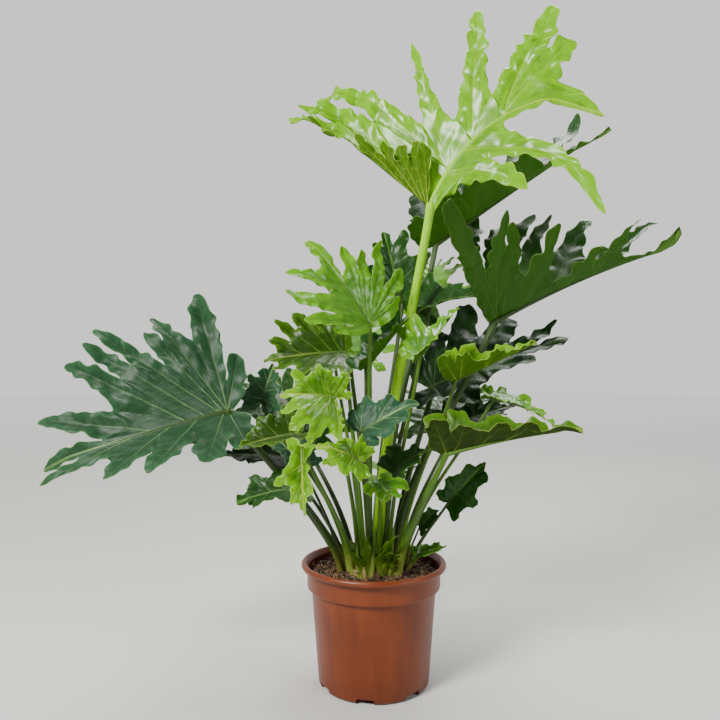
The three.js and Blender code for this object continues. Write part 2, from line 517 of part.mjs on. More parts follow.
// The basal part of a half may be folded over the rest: { angle, turn, radius } gives the
// fold line on the flat blade, how far it turns in degrees and how round the fold is.
function folded(flap, x, y, z) {
  const line = radians(flap.angle);
  const [cx, cy] = [Math.cos(line), Math.sin(line)];
  const along = cx * x + cy * y;
  const beyond = Math.max(0, cx * y - cy * x);
  const turn = Math.min(beyond / flap.radius, radians(flap.turn));
  const straight = beyond - turn * flap.radius;
  const off = flap.radius * Math.sin(turn) + straight * Math.cos(turn) - z * Math.sin(turn);
  const up = flap.radius * (1 - Math.cos(turn)) + straight * Math.sin(turn) + z * Math.cos(turn);
  return [cx * along - cy * off, cy * along + cx * off, up];
}

// Shift of a point of a lobe whose outer part swings sideways, the lobe's width square to its
// bent axis: along and off are the point's place beside the straight axis.
function swept(lobe, along, off) {
  const s = clamp((along / lobe.reach - CURL_START) / (1 - CURL_START), 0, 1.3);
  const slope = Math.atan(2 * lobe.sweep * s / (1 - CURL_START));
  const forward = -off * Math.sin(slope);
  const aside = lobe.sweep * lobe.reach * s * s + off * (Math.cos(slope) - 1);
  const [wx, wy] = lobe.way;
  return [wx * forward - wy * aside, wy * forward + wx * aside];
}

// Sideways shift of a midrib that arches in the plane of its blade.
function swerved(leaf, u) {
  const swerve = leaf.swerve ?? 0;
  return u > 0 ? 4 * swerve * u * (1 - u) : 4 * swerve * SWERVE_BASE * (Math.exp(u / SWERVE_BASE) - 1);
}

// Flat blade point (x along, y across, z up) to its place on the bent, folded leaf.
function place(leaf, frame, x, y, z) {
  const { origin, along, across, up, bend, length } = frame;
  const fold = radians(leaf.fold);
  const soft = 0.02 * length;
  const rise = Math.sin(fold) * (Math.hypot(y, soft) - soft) - leaf.arch * y * y / length;
  const h = z + rise;
  const radius = length / bend;
  const turn = x / radius;
  const px = (radius + h) * Math.sin(turn);
  const pz = -radius * (1 - Math.cos(turn)) + h * Math.cos(turn);
  const c = Math.cos(bend / 2);
  const s = Math.sin(bend / 2);
  return origin.clone()
    .addScaledVector(along, px * c - pz * s)
    .addScaledVector(across, y * Math.cos(fold) + swerved(leaf, x / length) * length)
    .addScaledVector(up, px * s + pz * c);
}

// Lobes of one half with sizes in millimetres, the end lobe last.
function lobesOf(leaf, lobes, sign, length) {
  const [start, width, endCurl, endSweep = 0] = leaf.end;
  const all = [...lobes, [start, 0, 1 - start, width, endCurl, sign * endSweep]];
  return all.map(([root, angle, reach, half, curl, sweep = 0]) => ({
    root: root * length,
    angle: radians(angle),
    way: [Math.cos(radians(angle)), Math.sin(radians(angle))],
    reach: reach * length,
    half: half * length,
    curl,
    sweep,
  }));
}

// Bottoms of the bays: one at the leaf base and one between each two lobes.
function baysOf(lobes, cuts, length) {
  const bays = [[-BASE_NOTCH * length, 0]];
  for (let i = 0; i + 1 < lobes.length; i += 1) {
    const a = lobes[i];
    const b = lobes[i + 1];
    const angle = (a.angle + b.angle) / 2;
    const out = cuts[i] * Math.min(a.reach, b.reach);
    bays.push([(a.root + b.root) / 2 + out * Math.cos(angle), out * Math.sin(angle)]);
  }
  return bays;
}

// How far a flank may reach from a point of its lobe's axis, so that it stays on its side
// of the line that parts the lobe from its neighbour: { root, angle } on the flat blade.
function roomBeside(lobe, along, parting, clear) {
  const x = lobe.root + lobe.way[0] * along - parting.root;
  const y = lobe.way[1] * along;
  const away = Math.abs(x * Math.sin(parting.angle) - y * Math.cos(parting.angle));
  const slope = Math.cos(parting.angle - lobe.angle);
  return slope > 0.05 ? Math.max(0, away - clear) / slope : Infinity;
}

// Columns of one half. Each runs from a point of the midrib to one of the margin.
function columnsOf(leaf, lobes, cuts, stations, length) {
  const bays = baysOf(lobes, cuts, length);
  const shoulders = leaf.detail > 1 ? [[0.2, 0.86, 0.16], [0.8, 0.88, 0]] : [[0.62, 1, 0]];
  const columns = [];
  lobes.forEach((lobe, i) => {
    const [wx, wy] = lobe.way;
    const point = (a, h) => [lobe.root + wx * a - wy * h, wy * a + wx * h];
    // From the bay to the tip, each point a little closer to the axis as seen from the root.
    const flank = (bay, sign, neighbour) => {
      const bx = bay[0] - lobe.root;
      const from = Math.max(0, bx * wx + bay[1] * wy);
      const off = Math.abs(-bx * wy + bay[1] * wx);
      const parting = {
        root: (lobe.root + neighbour.root) / 2,
        angle: (lobe.angle + neighbour.angle) / 2,
      };
      let spread = from > 0 ? off / from : Infinity;
      return shoulders.map(([share, width, mix]) => {
        const along = from + share * (lobe.reach - from);
        const room = roomBeside(lobe, along, parting, CLEAR * length);
        const full = lobe.half * width * (1 - mix) + off * mix;
        const half = Math.min(full, room, TAPER * spread * along);
        spread = half / along;
        const relief = Math.min(1, half / (0.07 * length));
        return { lobe, out: point(along, sign * half), lift: 1, relief };
      });
    };
    const behind = { root: -lobe.root, angle: 2 * Math.PI - lobe.angle };
    columns.push({ lobe, out: bays[i], lift: 0, relief: 0 });
    columns.push(...flank(bays[i], 1, i > 0 ? lobes[i - 1] : behind));
    columns.push({ lobe, out: point(lobe.reach, 0), lift: 1, relief: 0, tip: true });
    if (i + 1 < lobes.length) {
      columns.push(...flank(bays[i + 1], -1, lobes[i + 1]).reverse());
      const next = lobes[i + 1];
      const between = stations.filter((x) => x > lobe.root + 0.01 && x < next.root - 0.01);
      [lobe.root, ...between].forEach((root) => {
        columns.push({ lobe: { ...lobe, root }, out: bays[i + 1], lift: 0, relief: 0 });
      });
    }
  });
  return columns;
}

// Height of the ruffle at a column's end: the columns rise and sink in turn, less where the
// next one is close.
function ruffle(columns, j, length) {
  const { lobe, out } = columns[j];
  const [dx, dy] = [out[0] - lobe.root, out[1]];
  const beside = [columns[j - 1], columns[j + 1]].filter(Boolean)
    .map((other) => Math.abs((other.out[0] - lobe.root) * dy - other.out[1] * dx) / Math.hypot(dx, dy));
  return Math.min(WAVE * length, RUFFLE_SLOPE * Math.min(...beside)) * (j % 2 ? 1 : -1);
}

// A waved sheet over strips of columns, { sign, columns }, with both skins split alike.
function sheet(leaf, frame, strips, flap = null) {
  const { length } = frame;
  const rows = leaf.detail > 2 && !flap ? 2 : 1;
  const points = [];
  const flats = [];
  const seen = new Map();
  const triangles = [];
  const area = (i, j, k) => {
    const [p, q, r] = [flats[i], flats[j], flats[k]];
    return (q[0] - p[0]) * (r[1] - p[1]) - (q[1] - p[1]) * (r[0] - p[0]);
  };
  strips.forEach(({ sign, columns }) => {
    const grid = columns.map(({ lobe, out, lift, relief }, j) => {
      const wave = relief > 0 ? ruffle(columns, j, length) : 0;
      const row = [];
      for (let r = 0; r <= rows; r += 1) {
        const share = r / rows;
        const flatX = lobe.root + (out[0] - lobe.root) * share;
        const flatY = out[1] * share;
        const a = (flatX - lobe.root) * lobe.way[0] + flatY * lobe.way[1];
        const off = flatY * lobe.way[0] - (flatX - lobe.root) * lobe.way[1];
        const s = clamp((a / lobe.reach - CURL_START) / (1 - CURL_START), 0, 1.3);
        const pleat = relief * PLEAT * Math.min(Math.abs(off), 0.05 * length);
        const height = pleat - lift * lobe.curl * lobe.reach * s * s + (r === rows ? wave : 0);
        const key = `${flatX.toFixed(3)} ${(sign * flatY).toFixed(3)}`;
        if (!seen.has(key)) {
          const [sx, sy] = lift > 0 ? swept(lobe, a, off) : [0, 0];
          const [x, y, z] = flap ? folded(flap, flatX, flatY, height) : [flatX, flatY, height];
          seen.set(key, points.length);
          flats.push([flatX + sx, flatY + sy]);
          points.push(place(leaf, frame, x + sx, sign * (y + sy), z));
        }
        row.push(seen.get(key));
      }
      return row;
    });
    for (let j = 0; j + 1 < grid.length; j += 1) {
      for (let r = 0; r < rows; r += 1) {
        const a = grid[j][r];
        const b = grid[j + 1][r];
        const c = grid[j + 1][r + 1];
        const d = grid[j][r + 1];
        const first = Math.min(area(a, b, c), area(a, c, d));
        const second = Math.min(area(a, b, d), area(b, c, d));
        const split = r === 0 || first > second ? [[a, c, b], [a, d, c]] : [[a, d, b], [b, d, c]];
        split.filter((t) => new Set(t).size === 3).forEach((t) => {
          triangles.push(sign > 0 ? t : [t[0], t[2], t[1]]);
        });
      }
    }
  });
  return shell(points, triangles);
}

// The whole blade. A folded basal part is a sheet of its own, joined along the fold line.
function blade(leaf, frame) {
  const { length } = frame;
  const left = lobesOf(leaf, leaf.left, 1, length);
  const right = lobesOf(leaf, leaf.right, -1, length);
  const stations = [...left, ...right].map((lobe) => lobe.root).sort((a, b) => a - b);
  const leftColumns = columnsOf(leaf, left, leaf.cutLeft, stations, length);
  const rightColumns = columnsOf(leaf, right, leaf.cutRight, stations, length);
  const foldAngle = radians(leaf.flap?.angle ?? 0);
  const line = leaf.flap ? leftColumns.findIndex((c) => c.tip && c.lobe.angle === foldAngle) : 0;
  const open = sheet(leaf, frame, [
    { sign: 1, columns: leftColumns.slice(line) },
    { sign: -1, columns: rightColumns },
  ]);
  if (!leaf.flap) {
    return open;
  }
  return open.add(sheet(leaf, frame, [{ sign: 1, columns: leftColumns.slice(0, line + 1) }], leaf.flap));
}

// Thickens a sheet by half the blade to either side and closes its margin.
function shell(points, triangles) {
  const normals = points.map(() => new THREE.Vector3());
  const open = new Map();
  triangles.forEach((t) => {
    const [a, b, c] = t.map((i) => points[i]);
    const n = b.clone().sub(a).cross(c.clone().sub(a));
    t.forEach((i, k) => {
      normals[i].add(n);
      const next = t[(k + 1) % 3];
      if (open.has(`${next} ${i}`)) {
        open.delete(`${next} ${i}`);
      } else {
        open.set(`${i} ${next}`, [i, next]);
      }
    });
  });
  const count = points.length;
  const skins = [];
  normals.forEach((n, i) => skins.push(points[i].clone().addScaledVector(n.normalize(), BLADE / 2)));
  normals.forEach((n, i) => skins.push(points[i].clone().addScaledVector(n, -BLADE / 2)));
  const faces = [...triangles];
  triangles.forEach(([a, b, c]) => faces.push([a + count, c + count, b + count]));
  open.forEach(([a, b]) => {
    faces.push([b, a, a + count]);
    faces.push([b, a + count, b + count]);
  });
  return solid(skins, faces);
}

// Stalk axis: straight in the soil, then one curve up to the joint.
function stalkPath(leaf, steps) {
  const foot = new THREE.Vector3(leaf.base[0], leaf.base[1], CROWN_LEVEL);
  const joint = vector(leaf.joint);
  const way = joint.clone().sub(foot);
  const reach = way.length();
  way.divideScalar(reach);
  const start = new THREE.Vector3(0, 0, 1 - leaf.lean).addScaledVector(way, leaf.lean).normalize();
  const second = foot.clone().addScaledVector(start, reach * 0.38);
  const third = joint.clone().addScaledVector(way, -reach * 0.3);
  const curve = new THREE.CubicBezierCurve3(foot, second, third, joint);
  return [new THREE.Vector3(foot.x, foot.y, CROWN_LEVEL - ROOT_DEPTH), ...curve.getPoints(steps)];
}

// Stalk path, radii and side count; extra widens it into the hole that it stands in.
function stalkOf(leaf, extra) {
  const sides = leaf.detail > 1 ? 6 : 5;
  const steps = leaf.detail > 1 ? 7 : 4;
  const [thick, thin] = leaf.stalk;
  const path = stalkPath(leaf, steps);
  const radii = path.map((_, i) => thick + (thin - thick) * Math.max(0, i - 1) / steps + extra);
  return { path, radii, sides, steps };
}

function leafSolid(leaf) {
  const frame = bladeFrame(leaf);
  const { path, radii, sides, steps } = stalkOf(leaf, 0);
  const thin = leaf.stalk[1];
  const end = path[steps + 1];
  end.addScaledVector(end.clone().sub(path[steps]).normalize(), thin * 0.6);
  const stalk = tube(path, radii, sides);
  const whole = blade(leaf, frame).add(stalk);
  if (leaf.detail < 3) {
    return whole;
  }
  const stops = [-0.01, 0.12, 0.3];
  const rib = tube(
    stops.map((s) => place(leaf, frame, s * frame.length, 0, -thin * 0.45 * (1 - s * 2))),
    stops.map((s) => thin * (0.85 - 2 * Math.max(0, s))),
    4,
  );
  return whole.add(rib);
}

// A shoot is a slim spear rising from the soil.
function shootPath(shoot) {
  const foot = new THREE.Vector3(shoot.foot[0], shoot.foot[1], CROWN_LEVEL);
  const below = foot.clone().setZ(CROWN_LEVEL - ROOT_DEPTH);
  const top = vector(shoot.top);
  const middle = foot.clone().lerp(top, 0.5);
  return [below, foot, middle, foot.clone().lerp(top, 0.85), top];
}

function shootSolid(shoot) {
  return tube(shootPath(shoot), [0.9, 1, 0.85, 0.5, 0.15].map((s) => s * shoot.radius), 6);
}

// ---------------------------------------------------------------- pot and soil

function potSolid() {
  const top = POT_HEIGHT;
  const inner = BODY_TOP_RADIUS - WALL;
  const profile = [
    [0, 0], [BASE_RADIUS - 3, 0], [BASE_RADIUS, 3], [BODY_TOP_RADIUS, BAND_BOTTOM - 4],
    [BODY_TOP_RADIUS + 0.8, BAND_BOTTOM - 2], [BAND_RADIUS - 1.5, BAND_BOTTOM],
    [BAND_RADIUS, top - LIP_DEPTH - 3], [BAND_RADIUS + 2, top - LIP_DEPTH - 1],
    [LIP_RADIUS - 2, top - LIP_DEPTH], [LIP_RADIUS, top - LIP_DEPTH + 2.5], [LIP_RADIUS, top - 3],
    [LIP_RADIUS - 1.5, top - 0.8], [LIP_RADIUS - 4, top], [LIP_RADIUS - 7, top - 1.5],
    [BAND_RADIUS - WALL, top - LIP_DEPTH - 2], [BAND_RADIUS - WALL - 1.5, BAND_BOTTOM + 4],
    [inner, BAND_BOTTOM - 2], [BASE_RADIUS - WALL, FLOOR], [0, FLOOR],
  ];
  let pot = solidOf(turned(profile, POT_SIDES));
  for (let i = 0; i < NOTCHES; i += 1) {
    const angle = NOTCH_FIRST_DEG + i * 360 / NOTCHES;
    const cutter = new THREE.BoxGeometry(24, NOTCH_WIDTH, NOTCH_HEIGHT + 2)
      .translate(BASE_RADIUS, 0, NOTCH_HEIGHT / 2 - 1)
      .rotateZ(radians(angle));
    pot = pot.subtract(solidOf(cutter));
  }
  return pot;
}

// Height of the potting mix: a low heap at the crown with small lumps.
function soilTop(x, y) {
  const heap = SOIL_HEAP * Math.exp(-((x + 6) ** 2 + y ** 2) / 2600);
  const lumps = Math.sin(x * 0.19 + 1) * Math.cos(y * 0.23) + 0.6 * Math.sin((x + y) * 0.37);
  return SOIL_LEVEL + heap + lumps;
}

function soilSolid() {
  const gap = SOIL_CLEARANCE;
  const wall = BAND_RADIUS - WALL - 0.9 - gap;
  const inner = BODY_TOP_RADIUS - WALL - gap;
  const foot = BASE_RADIUS - WALL - 8;
  const profile = [
    [0, FLOOR + gap], [foot, FLOOR + gap], [foot + 2, FLOOR + 12],
    [inner - 0.6, BAND_BOTTOM - 3], [wall - 1.5, BAND_BOTTOM + 5], [wall - 0.4, SOIL_LEVEL],
    [76, SOIL_LEVEL], [56, SOIL_LEVEL], [30, SOIL_LEVEL], [0, SOIL_LEVEL],
  ];
  const geometry = turned(profile, SOIL_SIDES);
  const position = geometry.getAttribute('position');
  for (let i = 0; i < position.count; i += 1) {
    const x = position.getX(i);
    const y = position.getY(i);
    if (position.getZ(i) > SOIL_LEVEL - 1) {
      position.setZ(i, soilTop(x, y) - (Math.hypot(x, y) > 88 ? 2 : 0));
    }
  }
  const holes = [];
  LEAVES.forEach((leaf) => {
    const { path, radii, sides: corners } = stalkOf(leaf, HOLE_GAP);
    path[0].z -= 1;
    holes.push(tube(path.slice(0, 3), radii.slice(0, 3), corners));
  });
  SHOOTS.forEach((shoot) => {
    const path = shootPath(shoot).slice(0, 3);
    path[0].z -= 1;
    holes.push(tube(path, path.map(() => shoot.radius + HOLE_GAP), 6));
  });
  return holes.reduce((body, hole) => body.subtract(hole), solidOf(geometry));
}

// -------------------------------------------------------------------- assembly

function named(body, name, colour, roughness) {
  const mesh = body.getMesh();
  const positions = new Float32Array(mesh.numVert * 3);
  for (let i = 0; i < mesh.numVert; i += 1) {
    positions.set(mesh.vertProperties.subarray(i * mesh.numProp, i * mesh.numProp + 3), i * 3);
  }
  const geometry = new THREE.BufferGeometry();
  geometry.setAttribute('position', new THREE.BufferAttribute(positions, 3));
  geometry.setIndex(Array.from(mesh.triVerts));
  geometry.computeVertexNormals();
  const material = new THREE.MeshStandardMaterial({ color: colour, roughness, metalness: 0 });
  const result = new THREE.Mesh(geometry, material);
  result.name = name;
  return result;
}

const plant = new THREE.Group();
plant.name = 'potted_philodendron';
plant.add(named(potSolid(), 'pot', 0x96502f, 0.45));
plant.add(named(soilSolid(), 'soil', 0x3b2a1e, 0.95));
LEAVES.forEach((leaf) => {
  plant.add(named(leafSolid(leaf), leaf.name, COLOURS[leaf.tone], 0.45));
});
SHOOTS.forEach((shoot) => {
  plant.add(named(shootSolid(shoot), shoot.name, COLOURS[shoot.tone], 0.55));
});

export default plant;
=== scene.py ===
# %% [markdown]
# # A potted tree philodendron
# A tree philodendron grows one leaf after another from a single crown. Each leaf is one piece: a
# firm stalk and a deeply lobed, ruffled blade. The measured model holds the leaves, the potting
# mix and the pot at their real size. This script gives every one of them its fine surface, and
# works that surface out from the same few sizes, so the two always agree.

# %% Load the measured model
import math

import bpy
import numpy as np
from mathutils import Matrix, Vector


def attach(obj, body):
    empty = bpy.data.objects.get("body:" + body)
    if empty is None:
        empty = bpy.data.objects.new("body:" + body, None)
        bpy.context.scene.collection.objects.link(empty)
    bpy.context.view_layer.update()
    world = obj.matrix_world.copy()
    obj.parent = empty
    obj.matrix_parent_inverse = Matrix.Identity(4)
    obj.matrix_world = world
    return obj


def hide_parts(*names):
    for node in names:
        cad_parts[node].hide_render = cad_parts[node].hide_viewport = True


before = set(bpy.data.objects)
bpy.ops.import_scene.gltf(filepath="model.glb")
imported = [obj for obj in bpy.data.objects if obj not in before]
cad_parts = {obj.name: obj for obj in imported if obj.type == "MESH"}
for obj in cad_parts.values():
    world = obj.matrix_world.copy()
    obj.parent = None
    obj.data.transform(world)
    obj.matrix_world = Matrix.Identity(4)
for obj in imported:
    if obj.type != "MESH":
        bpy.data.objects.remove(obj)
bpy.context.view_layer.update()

# %% [markdown]
# ## Camera and light
# The plant is seen from straight ahead, from about a metre away, with the lens a little below the
# middle of its height. Near leaves then look clearly larger than far ones. The light is that of a
# small studio: one big soft source high on the left, a weaker one on the right, and one overhead
# that shines down through the thin upper leaves.

# %% Camera
camera_data = bpy.data.cameras.new("camera")
camera_data.sensor_fit = "HORIZONTAL"
camera_data.sensor_width = 36.0
camera_data.lens = 34.5
camera = bpy.data.objects.new("camera", camera_data)
camera.location = (-0.020, -1.006, 0.465)
camera.rotation_euler = (math.pi / 2, 0, 0)
bpy.context.scene.collection.objects.link(camera)
bpy.context.scene.camera = camera
print("camera at", [round(v, 3) for v in camera.location], "with a lens of", camera_data.lens, "mm")


# %% Soft lights
def softbox(name, place, aim, size, power, tint):
    """A square area light at place. It shines along its own -Z, which is turned towards aim."""
    lamp = bpy.data.lights.new(name, "AREA")
    lamp.size = size
    lamp.energy = power
    lamp.color = tint
    box = bpy.data.objects.new(name, lamp)
    towards = Vector(aim) - Vector(place)
    box.location = place
    box.rotation_euler = towards.to_track_quat("-Z", "Y").to_euler()
    bpy.context.scene.collection.objects.link(box)
    print(name, "at", place, "with", power, "W")


softbox("key light", (-1.5, -1.7, 2.1), (0.0, 0.0, 0.5), 0.75, 150, (1.0, 0.985, 0.96))
softbox("fill light", (2.0, -1.4, 1.1), (0.0, 0.0, 0.5), 0.9, 30, (0.95, 0.98, 1.0))
softbox("top light", (0.5, 0.9, 2.3), (0.1, 0.0, 0.6), 1.1, 62, (1.0, 1.0, 0.98))

# %% [markdown]
# ## Studio walls
# Waxy leaves mirror the room. The walls are pale behind the plant and much darker on the side of
# the camera, so the leaves keep their depth. The strength of the world's light therefore follows
# the direction: it is low towards -Y and full towards +Y, with an even run between.

# %% Walls
WALL_TURN = (-0.3, 0.6)
WALL_LIGHT = (0.14, 1.2)

world = bpy.data.worlds.new("studio")
world.use_nodes = True
walls = world.node_tree
direction = walls.nodes.new("ShaderNodeTexCoord")
parts = walls.nodes.new("ShaderNodeSeparateXYZ")
grade = walls.nodes.new("ShaderNodeMapRange")
for socket, value in zip(list(grade.inputs)[1:5], (*WALL_TURN, *WALL_LIGHT)):
    socket.default_value = value
walls.links.new(direction.outputs["Object"], parts.inputs[0])
walls.links.new(parts.outputs["Y"], grade.inputs["Value"])
walls.links.new(grade.outputs["Result"], walls.nodes["Background"].inputs["Strength"])
walls.nodes["Background"].inputs["Color"].default_value = (0.82, 0.82, 0.81, 1)
bpy.context.scene.world = world
print("walls run from", WALL_LIGHT[0], "to", WALL_LIGHT[1])

# %% [markdown]
# ## Shader maths as plain arithmetic
# A finish is a small sum of patterns: veins, mottling, a pale margin. Blender adds such patterns
# with nodes. The class below wraps one socket and overloads the arithmetic signs, so a pattern can
# be written as a formula and the nodes are made on the way.


# %% Fields
class Field:
    """One socket of a shader. An arithmetic sign between fields adds one Math node."""

    def __init__(self, shader, socket):
        self.shader = shader
        self.socket = socket

    def math(self, operation, *others):
        """A Math node of that operation, with this field as its first value."""
        values = dict(enumerate([self, *others]))
        return self.shader.add("Math", {"operation": operation}, values)

    def __add__(self, other):
        return self.math("ADD", other)

    def __sub__(self, other):
        return self.math("SUBTRACT", other)

    def __mul__(self, other):
        return self.math("MULTIPLY", other)

    def __truediv__(self, other):
        return self.math("DIVIDE", other)

    def __rsub__(self, other):
        return self.shader.add("Math", {"operation": "SUBTRACT"}, {0: other, 1: self})

    __radd__ = __add__
    __rmul__ = __mul__

    def __abs__(self):
        return self.math("ABSOLUTE")

    def step(self, low, high):
        """0 below low, 1 above high and an even S between them."""
        settings = {"interpolation_type": "SMOOTHSTEP"}
        return self.shader.add("MapRange", settings, {"Value": self, 1: low, 2: high, 3: 0.0, 4: 1.0})

    def between(self, low, high):
        """Stretches 0..1 to low..high."""
        return self * (high - low) + low

    def line(self, spacing, width):
        """1 on thin lines that repeat every spacing along the field, 0 between them."""
        away = abs((self / spacing).math("FRACT") - 0.5) * spacing
        return 1.0 - away.step(width * 0.5, width * 1.5)


print("a field can:", ", ".join(name for name in vars(Field) if not name.startswith("_")))

# %% [markdown]
# ## One way to add a node
# Every other node comes from one method. It takes the node's type, its settings, and the values or
# links of its sockets. The short methods after it are the nodes that the finishes use most.


# %% Shader
class Shader:
    """A material, and the one way in which its nodes are added."""

    def __init__(self, name):
        self.material = bpy.data.materials.new(name)
        self.material.use_nodes = True
        self.tree = self.material.node_tree
        self.tree.nodes.clear()

    def add(self, kind, settings=None, inputs=None, output=0):
        """A node with its settings made first, then each socket linked to a field or set."""
        node = self.tree.nodes.new("ShaderNode" + kind)
        for key, value in (settings or {}).items():
            setattr(node, key, value)
        for key, value in (inputs or {}).items():
            if isinstance(value, Field):
                self.tree.links.new(value.socket, node.inputs[key])
            else:
                node.inputs[key].default_value = value
        return Field(self, node.outputs[output])

    def mix(self, factor, a, b):
        """Colour a where factor is 0, colour b where it is 1."""
        return self.add("Mix", {"data_type": "RGBA"}, {0: factor, 6: a, 7: b}, output=2)

    def noise(self, vector, scale, detail):
        """Soft noise from 0 to 1 with scale blobs to the metre, and detail finer layers on top."""
        inputs = {"Vector": vector, "Scale": scale, "Detail": detail, "Roughness": 0.55}
        return self.add("TexNoise", None, inputs)

    def place(self):
        """Where a point lies on the object, in metres."""
        return self.add("TexCoord", None, None, "Object")

    def split(self, vector):
        """The three numbers of a vector."""
        outputs = self.add("SeparateXYZ", None, {0: vector}).socket.node.outputs
        return [Field(self, socket) for socket in outputs]

    def map(self, name):
        """The two numbers of one of the piece's own maps."""
        return self.split(self.add("UVMap", {"uv_map": name}))[:2]

    def mark(self, name):
        """A number that each corner of the mesh carries."""
        return self.add("Attribute", {"attribute_name": name}, None, "Fac")

    def scaled(self, vector, sizes):
        """A vector with each of its three numbers multiplied by a size of its own."""
        return self.add("VectorMath", {"operation": "MULTIPLY"}, {0: vector, 1: sizes}, "Vector")

    def bump(self, height, distance, strength):
        """A normal that leans as if the surface rose by height times distance."""
        return self.add("Bump", None, {"Height": height, "Distance": distance, "Strength": strength})

    def finish(self, shader):
        """Links the shader to the material's output."""
        output = self.tree.nodes.new("ShaderNodeOutputMaterial")
        self.tree.links.new(shader.socket, output.inputs["Surface"])
        return self.material


print("a shader can:", ", ".join(name for name in vars(Shader) if not name.startswith("_")))

# %% [markdown]
# ## Colours by their code
# A colour is easiest to compare as six hex digits, as a paint program shows it. Light adds up
# evenly only in linear numbers, so each share is taken back through the screen's curve.


# %% Colours
def colour(code):
    """Linear red, green, blue and alpha: the share over 12.92 when dark, else its 2.4th power."""
    shares = [int(code[k:k + 2], 16) / 255 for k in (0, 2, 4)]
    return (*[s / 12.92 if s < 0.04045 else ((s + 0.055) / 1.055) ** 2.4 for s in shares], 1.0)


print("a leaf green in linear numbers:", [round(v, 3) for v in colour("68a812")])

# %% [markdown]
# ## The leaves and their sizes
# Every leaf is given by a few sizes in millimetres and degrees: where its stalk leaves the soil,
# where stalk and blade meet, where the midrib ends, which way the upper side looks, and how each
# half is divided into lobes. A lobe is root along the midrib, angle to it, reach, half width, curl
# and sweep, all but the angle in midrib lengths. Curl turns its tip down and sweep turns it
# sideways. A cut says how far out the bay between two lobes lies.


# %% Evenly spread lobes
def fan(first, last, reaches, half):
    """Lobes from the first angle to the last one. The first few leave the midrib at its base, the
    others ever further out, up to half its length."""
    lobes = []
    for i, reach in enumerate(reaches):
        s = i / (len(reaches) - 1)
        root = max(0, (s - 0.22) / 0.78) * 0.5
        lobes.append([root, first + (last - first) * s ** 0.85, reach, half, 0])
    return lobes


print("angles of three spread lobes:", [round(lobe[1]) for lobe in fan(120, 40, [0.5, 0.5, 0.4], 0.1)])

